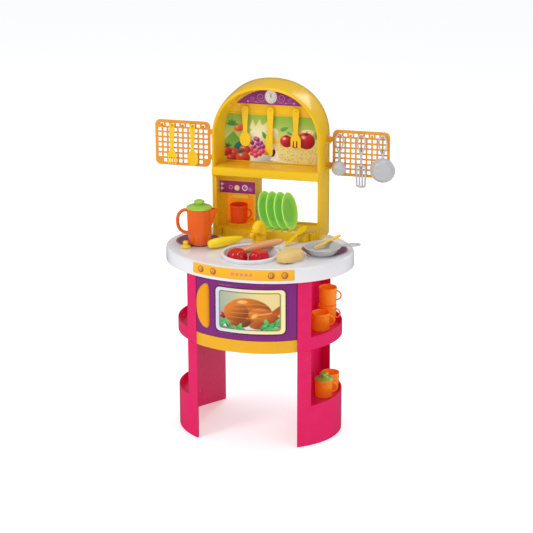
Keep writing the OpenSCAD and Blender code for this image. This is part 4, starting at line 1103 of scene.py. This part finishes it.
def handle_piece():
    # rows from bottom to top, columns from the bowed left edge to the nearly straight right edge
    nr, ncol = 64, 26
    verts, faces = [], []
    for j in range(nr + 1):
        s = math.sin(math.pi / 2 * (-1 + 2 * j / nr))
        xr = -102.0 - 6.0 * abs(s) ** 9
        xl = xr - 40.4 * max(0.0, 1 - abs(s) ** 2.5) ** 0.55
        e = max(0.0, 1 - abs(s) ** 5) ** 0.5
        for i in range(ncol + 1):
            u = 0.5 - 0.5 * math.cos(math.pi * i / ncol)
            h = 13.2 * max(0.0, 1 - abs(2 * u - 1) ** 2.7) ** 0.55 * e
            verts.append(on_oval(A0, B0, xl + (xr - xl) * u, 418 + 66.9 * s, h - 0.3))
    w = ncol + 1
    for j in range(nr):
        for i in range(ncol):
            faces.append((j * w + i, j * w + i + 1, (j + 1) * w + i + 1, (j + 1) * w + i))
    rim_ids = [i for i in range(w)] + [j * w + ncol for j in range(1, nr + 1)] + [nr * w + i for i in range(ncol - 1, -1, -1)] + [j * w for j in range(nr - 1, 0, -1)]
    faces.append(tuple(reversed(rim_ids)))
    o = mesh_mm("handle_grip", verts, faces)
    bm = bmesh.new(); bm.from_mesh(o.data)
    bmesh.ops.remove_doubles(bm, verts=bm.verts, dist=0.00001)
    bmesh.ops.triangulate(bm, faces=[f for f in bm.faces if len(f.verts) > 8])
    bmesh.ops.recalc_face_normals(bm, faces=bm.faces)
    bm.to_mesh(o.data); bm.free()
    finish_piece(o, M["handle"], "door_handle", sharp=70)


handle_piece()


# ------------------------------------------------------------------ tap
def tap_pieces():
    cx, cy, kz = -3.0, 30.0, 567.0
    a = math.radians(-110)
    dx, dy = math.cos(a), math.sin(a)
    # the collar, hollow under it
    collar = lathe([(6.2, 574.5), (12.4, 574.5), (13.2, 575.4), (13.3, 582), (12.8, 588), (11.6, 592.5), (8, 594), (0, 594.4), (0, 586), (6.2, 586)], 64)
    piece("tap_collar", move(collar, T(cx, cy, 0)), M["tap"], "faucet_spout", sharp=40)
    path = [(cx, cy, 586.0), (cx, cy, 591.4)]
    R = 13.4
    for i in range(1, 33):
        t = math.pi * i / 32
        r = R - R * math.cos(t)
        path.append((cx + dx * r, cy + dy * r, 591.4 + R * math.sin(t)))
    end = path[-1]
    path += [(end[0], end[1], end[2] - 2.6), (end[0], end[1], end[2] - 5.2)]
    tv, tf = tube(path, 12.4, 32, up=(-dy, dx, 0), cap=False)
    tf = list(tf) + [tuple(range(31, -1, -1)), tuple(range(len(tv) - 32, len(tv)))]
    piece("tap_spout", (tv, tf), M["tap"], body="faucet_spout", sharp=60)
    # painted shade: the spout's end lip and opening in a darker, duller orange for the shade inside the opening
    mouth_shade = lathe([(0, 0), (8.2, 0), (9.0, -0.8), (10.8, -1.0), (12.0, -0.4), (12.5, 1.2), (10, 2.6), (0, 2.6)], 48)
    piece("tap_mouth_shade", move(mouth_shade, T(end[0], end[1], end[2] - 5.2)), M["mouth_shade"], body="faucet_spout", sharp=30)
    # side knob: hub, round end and four arms with balls
    hub = [(2.8, 0), (7.4, 0), (8.5, 1.2), (8.7, 6), (8.4, 9.5), (7.0, 12.2), (4.4, 13.6), (0, 14.0), (0, 10), (2.8, 10)]
    knob = move(lathe(hub, 56), T(cx - 19.6, cy, kz) @ RY(-90))
    fins = []
    for q in range(4):
        ball = lathe([(5.0 * math.sin(math.radians(t)), -5.0 * math.cos(math.radians(t))) for t in range(0, 181, 12)], 28)
        an = math.radians(90 * q)
        kx = cx - 25.5
        arm = tube([(kx, cy + 5 * math.cos(an), kz + 5 * math.sin(an)), (kx, cy + 11.6 * math.cos(an), kz + 11.6 * math.sin(an))], 3.3, 16, up=(1, 0, 0))
        fins += [arm, move(ball, T(kx, cy + 12.0 * math.cos(an), kz + 12.0 * math.sin(an)))]
    piece("tap_knob", join(knob, *fins), M["tap"], "faucet_knob", sharp=45)
    # a skirt where the base meets the worktop
    piece("tap_base_ring", move(lathe([(14.8, 546.2), (18.4, 546.2), (18.6, 547.4), (17.6, 549.6), (16.0, 551.6), (15.0, 553.6), (14.8, 553.6)], 56, closed=True), T(cx, cy, 0)), M["tap"], body="root", sharp=50)


tap_pieces()


# ------------------------------------------------------------------ cutlery
def blade(name, mat, node, stations, y0, x0, z0, thick=2.6, n=12, plane="front", mat4=None, body=None):
    """Cutlery as a shell: stations (s along the length, half width, dish depth, side shift). Hangs down from z0."""
    top, bot = [], []
    for s, w, dish, sh in stations:
        rt, rb = [], []
        for i in range(n + 1):
            u = -1 + 2 * i / n
            crown = 0.9 * (1 - abs(u) ** 2.4) if dish <= 0 else 0.0
            d = dish * (1 - u * u)
            rt.append((sh + w * u, y0 - crown + d, z0 - s))
            rb.append((sh + w * u, y0 + thick - (0.2 if dish <= 0 else 0.0) + d * 0.85, z0 - s))
        top.append(rt); bot.append(rb)
    m, k = len(stations), n + 1
    verts = [p for r in top for p in r] + [p for r in bot for p in r]
    faces = []
    off = m * k
    for j in range(m - 1):
        for i in range(n):
            faces.append((j * k + i, j * k + i + 1, (j + 1) * k + i + 1, (j + 1) * k + i))
            faces.append((off + j * k + i, off + (j + 1) * k + i, off + (j + 1) * k + i + 1, off + j * k + i + 1))
        faces.append((j * k, (j + 1) * k, off + (j + 1) * k, off + j * k))
        faces.append((j * k + n, off + j * k + n, off + (j + 1) * k + n, (j + 1) * k + n))
    faces.append(tuple([i for i in range(k)] + [off + n - i for i in range(k)]))
    e = (m - 1) * k
    faces.append(tuple([off + e + i for i in range(k)] + [e + n - i for i in range(k)]))
    verts = [(x + x0, y, z) for x, y, z in verts]
    if mat4 is not None:
        verts = [tuple(mat4 @ Vector(v)) for v in verts]
    return piece(name, (verts, faces), mat, node, bev=0.7, seg=2, sharp=35, body=body)


def spoon_stations(w0, w1, l, bw, bl, head=None):
    st = []
    r0 = w0 / 2
    for i in range(7):
        a = math.radians(90 * i / 6)
        st.append((-r0 * math.cos(a) * 0.98, max(1.0, r0 * math.sin(a)), 0, 0))
    for s in np.linspace(4, l - 2, 14):
        st.append((float(s), r0 + (w1 / 2 - r0) * min(1, s / (l * 0.75)), 0, 0))
    c, rx, rz = l + bl / 2 - 4, bw / 2, bl / 2
    for i in range(22):
        t = -0.86 + 1.855 * i / 21
        w = rx * math.sqrt(max(0.0, 1 - t * t)) * (1 + 0.05 * t)
        if t < -0.5:
            w = max(w, w1 / 2)
        st.append((c + rz * t, max(0.9, w), 2.4 * max(0, 1 - (t / 0.96) ** 2), 0))
    return st


def flat_piece(name, outline, y0, thick, mat, node, x, z, bev=0.8, body=None, holes=None):
    v, f = prism([(px + x, pz + z) for px, pz in outline], y0, y0 + thick)
    return piece(name, (v, f), mat, node, bev=bev, seg=2, sharp=35, body=body)


def head_arc(r, n=14):
    return [(r * math.cos(math.radians(a)), r * math.sin(math.radians(a))) for a in np.linspace(0, 180, n)]


def fork_outline(w0, w1, l, bw, bl, tines=4):
    r = w0 / 2
    right = [(w1 / 2, -l * 0.8), (w1 / 2 + 0.6, -l + 2), (bw * 0.36, -l - 4), (bw * 0.47, -l - 9), (bw / 2, -l - 15)]
    end = -l - bl + 4
    teeth = []
    pitch = bw / tines
    gap = pitch * 0.36
    depth = -l - bl * 0.46
    for i in range(tines):
        x1 = bw / 2 - i * pitch
        x0 = x1 - pitch + (gap if i < tines - 1 else 0)
        tip = (x0 + x1) / 2
        teeth += [(x1, end + 6), (x1 - 0.9, end + 1.5), (tip + 0.6, end), (tip - 0.6, end), (x0 + 0.9, end + 1.5), (x0, end + 6)]
        if i < tines - 1:
            teeth += [(x0, depth + 2), (x0 - gap * 0.5, depth), (x0 - gap, depth + 2)]
    return head_arc(r)[::-1][::-1] + [(-x, z) for x, z in []] + [(-p[0], p[1]) for p in right][0:0] + \
        [(-x, z) for x, z in right] + [(-x, z) for x, z in teeth] + [(x, z) for x, z in reversed(right)]


def knife_outline(w0, w1, l, bw, bl):
    r = w0 / 2
    left = [(-w1 / 2, -l * 0.8), (-w1 / 2, -l + 2), (w1 / 2 - bw + 1.5, -l - 6), (w1 / 2 - bw, -l - 12), (w1 / 2 - bw, -l - bl * 0.66), (w1 / 2 - bw + 3, -l - bl * 0.82), (w1 / 2 - 9, -l - bl - 1), (w1 / 2 - 5.5, -l - bl - 3)]
    right = [(w1 / 2 - 1.6, -l - bl - 1), (w1 / 2, -l - bl + 3), (w1 / 2, -l * 0.8)]
    return head_arc(r) + left + right


yc = 127.6
blade("hung_spoon", M["cutlery"], "panel_spoon", spoon_stations(21, 13, 70, 32, 44), yc, -75, 914.2, 2.2)
flat_piece("hung_knife", knife_outline(21, 14, 70, 21, 62), 127.0, 3.0, M["cutlery"], "panel_knife", 0, 914.2)
flat_piece("hung_fork", fork_outline(21, 13, 68, 30, 41, 3), 127.0, 3.0, M["cutlery"], "panel_fork", 75, 914.2)
flat_piece("side_fork", fork_outline(17, 11, 74, 27, 46, 4), 128.0, 2.8, M["cutlery"], "rack_fork", -296, 851)
blade("side_spoon", M["cutlery"], "rack_spoon", spoon_stations(17, 11, 74, 33, 48), 128.6, -234, 851, 2.2)


# ------------------------------------------------------------------ grey kitchen tools
def drop_path(w, l, cx, y, cz, n=56):
    out = []
    for i in range(n):
        t = 2 * math.pi * i / n
        k = 0.5 - 0.5 * math.sin(t)
        out.append((cx + w / 2 * math.cos(t) * (1 - 0.72 * k * k), y, cz + l / 2 * math.sin(t)))
    return out


HZ = 852.0 + 7.0
def loop_part(x, y, w=26, l=56):
    return tube(drop_path(w, l, x, y, HZ - 30), 2.3, 14, closed=True)


def tools():
    # ladle, its ball towards the front
    x = 203.0
    ball = []
    for i in range(15):
        a = math.radians(90 * i / 14)
        ball.append((21.5 * math.sin(a), 21.5 * math.cos(a)))
    inner = [(19.6 * math.sin(math.radians(90 * i / 14)), 19.6 * math.cos(math.radians(90 * i / 14))) for i in range(14, -1, -1)]
    prof = ball + [(21.2, -0.7), (20.3, -0.9), (19.7, -0.5)] + inner
    bowl = move(lathe(prof, 64), T(x, 125, 757) @ RX(90))
    stem = tube([(x, 128.6, 806), (x, 128.4, 797), (x, 126.4, 788), (x, 124.2, 781), (x, 123.4, 777)], 3.2, 16)
    piece("ladle_tool", join(loop_part(x, 128.7), stem, bowl), M["grey"], "ladle", sharp=45)
    # slotted turner: four bars joined at both ends
    x = 267.0
    v = []
    bars = []
    for i in range(4):
        bx = -12.6 + 8.4 * i
        bars.append(tube([(x + bx, 128.7, 763), (x + bx, 128.5, 750), (x + bx, 128.2, 725), (x + bx * 0.93, 128.4, 708)], 2.6, 14, flat=0.62))
    top = tube([(x - 12.8, 128.7, 763.5), (x - 8, 128.7, 766.8), (x, 128.7, 768.4), (x + 8, 128.7, 766.8), (x + 12.8, 128.7, 763.5)], 3.2, 14, flat=0.6)
    low = tube([(x - 12.6, 128.4, 707.5), (x - 6, 128.4, 705), (x, 128.4, 704.4), (x + 6, 128.4, 705), (x + 12.6, 128.4, 707.5)], 3.0, 14, flat=0.6)
    stem = tube([(x, 128.7, 806), (x, 128.7, 785), (x, 128.7, 767)], 3.3, 16)
    piece("turner_tool", join(loop_part(x, 128.7), stem, top, low, *bars), M["grey"], "slotted_turner", sharp=45)
    # frying pan, its base towards the front
    x = 329.0
    pan = [(0, 0), (22, 0), (24.6, 0.7), (26.5, 2.6), (30, 8), (33.6, 14.4), (36, 15.4), (36.6, 16.6), (36, 18), (34, 18), (32, 16.6), (28.2, 9.4), (24.6, 3.4), (22.5, 2.1), (0, 2.0)]
    shell = move(lathe(pan, 72), T(x, 114, 757) @ RX(-90))
    stem = tube([(x, 129.4, 806), (x, 129.6, 797), (x, 130.0, 791)], 3.4, 16)
    piece("hung_pan", join(shell, loop_part(x, 129.5), stem), M["grey"], "hanging_pan", sharp=45)
    # the pan on the right hob with its loop handle
    pan = [(0, 0), (35, 0), (37.6, 0.8), (39.4, 3.0), (44, 10), (48.2, 17.4), (52, 19.2), (53, 20.2), (52.6, 21.3), (50.6, 21.6), (48.0, 19.6), (43.0, 12.2), (38.2, 4.6), (36, 3.0), (0, 2.6)]
    body = move(lathe(pan, 96), T(188, -20, 546.3))
    path = []
    for i in range(64):
        t = 2 * math.pi * i / 64
        k = 0.5 - 0.5 * math.sin(t)
        path.append((188 + 52 + 28 + 29 * math.sin(t), -20 - 11 * math.cos(t) * (1 - 0.72 * k * k), 565.2))
    loop = move(tube(path, 2.7, 14, closed=True, up=(0, 0, 1)), T(188, -20, 0) @ RZ(25) @ T(-188, 20, 0))
    piece("hob_pan", join(body, loop), M["grey"], "frying_pan", sharp=45)


tools()


# ------------------------------------------------------------------ cups, bowls, pot, plates
def ear_path(r, n=26, squash_=1.0):
    """A half ring in the XZ plane, opening towards the axis, its ends 3 mm inside the wall."""
    out = []
    for i in range(n + 1):
        t = math.radians(-96 + 192 * i / n)
        out.append((r * math.cos(t), 0.0, r * math.sin(t) * squash_))
    return out


def cup_piece(name, node, x, y, z, turn, mat):
    r, h = 26.5, 52.0
    prof = [(0, 0.8), (18, 0.8), (19.5, 0.0), (23.0, 0.0), (24.3, 0.7), (24.8, 2.0), (25.3, 14), (25.9, 38), (26.0, h - 6.5), (26.5, h - 5.8), (26.6, h - 1.0), (26.0, h), (25.0, h), (24.4, h - 1.0), (24.2, h - 6), (23.4, 20), (22.9, 4.4), (21.6, 3.0), (0, 2.6)]
    ear = move(tube(ear_path(13.4), 2.5, 14, up=(0, 1, 0), flat=1.25), T(25.2, 0, h * 0.53))
    M4 = T(x, y, z + 0.3) @ RZ(turn)
    piece(name, move(join(lathe(prof, 80), ear), M4), mat, node, sharp=42)


cup_piece("cup_in_machine", "machine_cup", -95, 129, 575.0, -8, M["redcup"])
cup_piece("cup_upper", "stacked_cup_top", 187, 63, 365.0, 4, M["cup"])
cup_piece("cup_under", "stacked_cup_bottom", 186, 63, 312.0, -6, M["cup"])
cup_piece("cup_front", "front_cup", 182, -9, 312.0, 12, M["cup"])
cup_piece("cup_low", "lower_cup", 197, 59, 103.0, 90, M["cup"])
cup_piece("bowl_sugar", "sugar_bowl", 191, 0, 103.0, 12, M["cup"])
lidp = [(0, -3.6), (21.0, -3.6), (21.8, -3.0), (21.9, -0.2), (26.8, -0.1), (27.4, 0.8), (27.2, 2.0), (25.8, 3.0), (22.5, 4.4), (17, 6.0), (11.6, 7.3), (9.0, 9.0), (8.8, 10.6), (9.8, 12.2), (12.2, 13.8), (12.9, 16.0), (12.2, 18.6), (9.4, 20.4), (5, 21.0), (0, 21.1)]
piece("sugar_cap", move(lathe(lidp, 80), T(191, 0, 155.9)), M["lid"], "sugar_lid", sharp=42)


def teapot():
    h = 106.0
    prof = [(0, 1.2), (27, 1.2), (28.4, 0), (30.8, 0), (32.6, 0.8), (33.5, 2.4), (34.4, 40), (35.8, h - 3), (36.0, h - 0.8), (35.2, h), (33.8, h), (33.2, h - 1), (32.6, 60), (31.0, 4.6), (29.0, 3.2), (0, 3.0)]
    body = lathe(prof, 96)
    # pouring lip: a V channel that widens to the rim
    rows = []
    for j in range(13):
        s = j / 12
        z = 47 + (h - 47) * s
        tip = 33 + 21.5 * s ** 0.9
        hw = 2.2 + 9.8 * s ** 0.8
        row = []
        for i in range(15):
            u = -1 + 2 * i / 14
            xx = 30.0 + (tip - 30.0) * (1 - abs(u) ** 1.7) ** 0.9
            row.append((xx, hw * u, z))
        rows.append(row)
    verts = [p for r in rows for p in r]
    k = 15
    faces = [(j * k + i, j * k + i + 1, (j + 1) * k + i + 1, (j + 1) * k + i) for j in range(12) for i in range(14)]
    off = len(verts)
    for j in range(13):
        s = j / 12
        for i in range(15):
            x, y, z = rows[j][i]
            verts.append((max(28.5, x - 2.2), y * (1 - 1.8 / (2.2 + 9.8 * s ** 0.8 + 1.2)), z - (0.0 if j == 12 else 0.2)))
    faces += [(off + j * k + i, off + (j + 1) * k + i, off + (j + 1) * k + i + 1, off + j * k + i + 1) for j in range(12) for i in range(14)]
    faces += [(12 * k + i, 12 * k + i + 1, off + 12 * k + i + 1, off + 12 * k + i) for i in range(14)]
    faces += [(i, off + i, off + i + 1, i + 1) for i in range(14)]
    for i in (0, 14):
        faces += [(j * k + i, (j + 1) * k + i, off + (j + 1) * k + i, off + j * k + i) for j in range(12)]
    # D handle
    path = [(-31.5, 0, 94.4), (-38, 0, 96.8), (-46, 0, 96.4), (-54.4, 0, 91.6), (-61.6, 0, 82.8), (-65.4, 0, 70.4), (-65.6, 0, 57), (-63.0, 0, 45.2), (-57.4, 0, 36.4), (-49.6, 0, 31.6), (-40.6, 0, 29.6), (-31.0, 0, 30.2)]
    sm = []
    for i in range(len(path) - 1):
        p0 = np.array(path[max(i - 1, 0)]); p1 = np.array(path[i]); p2 = np.array(path[i + 1]); p3 = np.array(path[min(i + 2, len(path) - 1)])
        for q in range(4):
            t = q / 4
            sm.append(tuple(0.5 * ((2 * p1) + (-p0 + p2) * t + (2 * p0 - 5 * p1 + 4 * p2 - p3) * t * t + (-p0 + 3 * p1 - 3 * p2 + p3) * t ** 3)))
    sm.append(path[-1])
    handle = tube(sm, 4.7, 18, up=(0, 1, 0), flat=1.3)
    piece("pot_body", move(join(body, (verts, faces), handle), T(-175, -12, 546.3)), M["teapot"], "teapot", sharp=42)
    lid = [(0, -3.6), (30.6, -3.6), (31.4, -3.0), (31.5, -0.1), (36.4, 0.0), (37.2, 0.8), (37.0, 2.2), (35.4, 3.6), (30, 5.8), (22, 8.0), (14.5, 9.4), (11.6, 10.8), (11.3, 12.4), (12.6, 14.0), (15.0, 15.6), (15.4, 18.0), (14.2, 20.6), (10.6, 22.4), (5, 23.0), (0, 23.1)]
    piece("pot_lid", move(lathe(lid, 96), T(-175, -12, 652.6)), M["lid"], "teapot_lid", sharp=42)


teapot()

def plates():
    r = 55.0
    prof = [(0, 0.2), (r * 0.5, 0.2), (r * 0.54, -0.2), (r * 0.59, 0.0), (r * 0.62, 1.6), (r * 0.74, 4.6), (r - 5, 7.8), (r - 0.7, 8.6), (r, 9.6), (r - 0.6, 10.7), (r - 2.4, 10.9), (r - 5.5, 9.9),
            (r * 0.82, 8.3), (r * 0.74, 6.9), (r * 0.66, 5.1), (r * 0.6, 3.6), (r * 0.56, 2.5), (r * 0.4, 2.2), (0, 2.2)]
    # painted light: the rim pale as a painted highlight, flank mid green, the middle deeper as painted shade in the
    # hollow
    cols = [(92, 172, 74)] * 5 + [(112, 186, 74), (150, 212, 92), (196, 232, 130), (206, 238, 142), (206, 238, 142), (190, 228, 122), (160, 214, 92),
            (140, 204, 80), (126, 196, 74), (110, 186, 68), (96, 176, 66), (88, 170, 66), (94, 176, 68), (98, 178, 70)]
    n = 112
    for i in (1, 2, 3, 4):
        m4 = T(-5 + (i - 1) * 23.5, 108, 567.5) @ RZ(-8) @ RY(-13) @ T(0, 0, r + 0.5) @ RY(90)
        inv = m4.inverted()
        rad = np.array([p[0] for p in prof]); zz = np.array([p[1] for p in prof]); cc = np.array([lin(c) for c in cols])

        def colour(co, inv=inv):
            im = np.array(inv)
            lc = co @ im[:3, :3].T + im[:3, 3]
            rr = np.hypot(lc[:, 0], lc[:, 1])
            d = (rr[:, None] - rad[None, :]) ** 2 + 3.0 * (lc[:, 2:3] - zz[None, :]) ** 2
            return cc[np.argmin(d, 1)]
        o = mesh_mm(f"dish_{i}", *move(lathe(prof, n), m4))
        set_point_colours(o, colour)
        finish_piece(o, M["plate"], f"plate_{i}", sharp=50)


plates()


# ------------------------------------------------------------------ loose yellow cutlery on the worktop
def pan_knife():
    out = [(0, -3.4), (4, -6.0), (15, -8.5), (28, -8.6), (36, -7.2), (41, -4.8), (60, -5.8), (79, -7)]
    out += [(82 + 7 * math.sin(math.radians(a)), -7 * math.cos(math.radians(a))) for a in range(10, 171, 16)]
    out += [(79, 7), (60, 5.8), (41, 4.6), (36, 4.2), (6, 4.2), (1, 3.2)]
    m4 = T(160.5, -5.7, 554.3) @ RZ(37) @ RY(-17.8)
    piece("loose_knife", move(prism(out, 0.0, 3.0, "xy"), m4), M["cutlery"], "pan_knife", bev=0.9, sharp=35)


pan_knife()


def leaning_spoon():
    m4 = T(72, 14, 548.2) @ RZ(56) @ RY(-26)
    st = []
    for i in range(6):
        a = math.radians(90 * i / 5)
        st.append((6 - 6 * math.cos(a), max(0.9, 6 * math.sin(a)), 0, 0))
    for s in np.linspace(10, 52, 8):
        st.append((float(s), 6.4 - 1.2 * (s - 6) / 52, 0, 0))
    for i in range(20):
        t = -0.88 + 1.872 * i / 19
        w = 14 * math.sqrt(max(0, 1 - t * t))
        if t < -0.5:
            w = max(w, 5.2)
        st.append((72 + 20 * t, max(0.9, w), 2.6 * max(0, 1 - (t / 0.96) ** 2), 0))
    base = Matrix(((0, 0, -1, 0), (1, 0, 0, 0), (0, -1, 0, 0), (0, 0, 0, 1)))
    blade("loose_spoon", M["cutlery"], "leaning_spoon", st, -2.8, 0, 0, 2.4, mat4=m4 @ base)


leaning_spoon()


# ------------------------------------------------------------------ play food
def lumpy(profile, nseg, fn):
    """Surface of revolution whose radius is changed by fn(angle, position 0..1)."""
    verts, faces = [], []
    m = len(profile)
    for j, (r, z) in enumerate(profile):
        for i in range(nseg):
            a = 2 * math.pi * i / nseg
            rr = r * fn(a, j / (m - 1))
            verts.append((rr * math.cos(a), rr * math.sin(a), z))
    for j in range(m - 1):
        for i in range(nseg):
            i2 = (i + 1) % nseg
            faces.append((j * nseg + i, j * nseg + i2, (j + 1) * nseg + i2, (j + 1) * nseg + i))
    a, b = len(verts), len(verts) + 1
    verts += [(0, 0, profile[0][1]), (0, 0, profile[-1][1])]
    faces += [(a, (i + 1) % nseg, i) for i in range(nseg)]
    k = (m - 1) * nseg
    faces += [(b, k + i, k + (i + 1) % nseg) for i in range(nseg)]
    return verts, faces


def food():
    # two tomatoes with deep lobes
    parts, stems = [], []
    for (cx, cy, rot, lobes) in ((-43, -90, 10, 6), (19.5, -83, 34, 6)):
        prof = []
        for i in range(25):
            t = math.radians(-88 + 176 * i / 24)
            r = 29.6 * math.cos(t) ** 0.66
            z = 27.3 * math.sin(t)
            if t > 0.9:
                z -= 4.5 * ((t - 0.9) / 0.64) ** 2
            prof.append((max(1.2, r), 27.3 + z))
        v = lumpy(prof, 112, lambda a, s: 1.0 - (0.13 * (0.5 - 0.5 * math.cos(lobes * a)) ** 3) * (1.0 if s > 0.3 else s / 0.3) - 0.02 * math.sin(3 * a + 1))
        parts.append(move(v, T(cx, cy, 509.6) @ RZ(rot)))
    piece("tomato_pair", join(*parts), M["red"], "tomatoes", sharp=70)
    # corn cob with rows of kernels
    def ckern(a, s):
        row = 0.5 + 0.5 * math.cos(16 * a)
        col = 0.5 + 0.5 * math.cos(2 * math.pi * 26 * s + (math.pi if math.cos(16 * a / 2) > 0 else 0))
        env = 1 if 0.08 < s < 0.94 else 0
        return 1 + 0.018 * env * (row - 0.5) + 0.008 * env * (col - 0.5)
    prof = []
    for i in range(90):
        s = 0.008 + 0.984 * i / 89
        prof.append(((15.8 - 4.6 * s) * math.sin(math.pi * s ** 0.8) ** 0.29, 115 * s))
    piece("corn", move(lumpy(prof, 160, ckern), T(-134, -67, 562.2) @ RZ(46) @ RY(90)), M["corn"], "corn_cob", sharp=80)
    # sausage, slightly bent, with a pinched end
    prof = []
    for i in range(60):
        s = 0.006 + 0.988 * i / 59
        prof.append((12 * math.sin(math.pi * s) ** 0.3 * (1 - 0.05 * math.cos(2 * math.pi * s * 1.5)), 135 * s))
    v, f = lumpy(prof, 48, lambda a, s: 1 + 0.012 * math.sin(2 * a + 9 * s))
    v = [(x - 1.6 * math.sin(math.pi * z / 135), y, z) for x, y, z in v]
    piece("sausage_roll", move((v, f), T(-51.6, -49.6, 539.2) @ RZ(10) @ RY(73.6)), M["sausage"], "sausage", sharp=70)
    # bun with a scored top
    def bun():
        verts, faces = [], []
        nu, nv = 72, 28
        for j in range(nv + 1):
            t = j / nv
            for i in range(nu):
                a = 2 * math.pi * i / nu
                cx, cy = math.cos(a), math.sin(a)
                k = math.sin(math.pi / 2 * min(1, t * 1.0)) if t < 1 else 1
                rr = math.cos(math.pi / 2 * t) ** 0.55 if t < 1 else 0
                lump = 1 + 0.022 * math.sin(5 * a + 1.3) + 0.016 * math.sin(9 * a)
                X = 45 * rr * math.copysign(abs(cx) ** 0.86, cx) * lump
                Y = 27.8 * rr * math.copysign(abs(cy) ** 0.86, cy) * lump
                Z = 27.4 * math.sin(math.pi / 2 * t) ** 0.8
                for c in (-20, 0, 20):
                    d = abs(X + 0.45 * Y - c)
                    if d < 6 and t > 0.2:
                        Z -= 1.7 * (1 - d / 6) ** 2 * min(1, (t - 0.2) * 2.5)
                verts.append((X, Y, Z + 0.15))
        for j in range(nv):
            for i in range(nu):
                i2 = (i + 1) % nu
                faces.append((j * nu + i, j * nu + i2, (j + 1) * nu + i2, (j + 1) * nu + i))
        faces.append(tuple(reversed(range(nu))))
        return verts, faces
    v, f = bun()
    o = mesh_mm("bread", *move((v, f), T(116, -104, 550.0) @ RZ(55)))
    bm = bmesh.new(); bm.from_mesh(o.data); bmesh.ops.remove_doubles(bm, verts=bm.verts, dist=0.00002)
    bmesh.ops.recalc_face_normals(bm, faces=bm.faces); bm.to_mesh(o.data); bm.free()
    finish_piece(o, M["bread"], "bread_bun", sharp=75)
    salt = [(0, 0), (13.2, 0), (14.4, 0.8), (14.6, 2.8), (13.6, 5.4), (11.4, 7.2), (8.0, 8.2), (7.0, 9.6), (6.8, 11.4), (7.6, 13.2), (8.1, 15.4), (7.5, 18.0), (5.6, 19.8), (2.6, 20.4), (0, 20.5)]
    piece("salt_pot", move(lathe(salt, 64), T(-203, -62, 546.2)), M["cutlery"], "salt_shaker", sharp=45)


food()
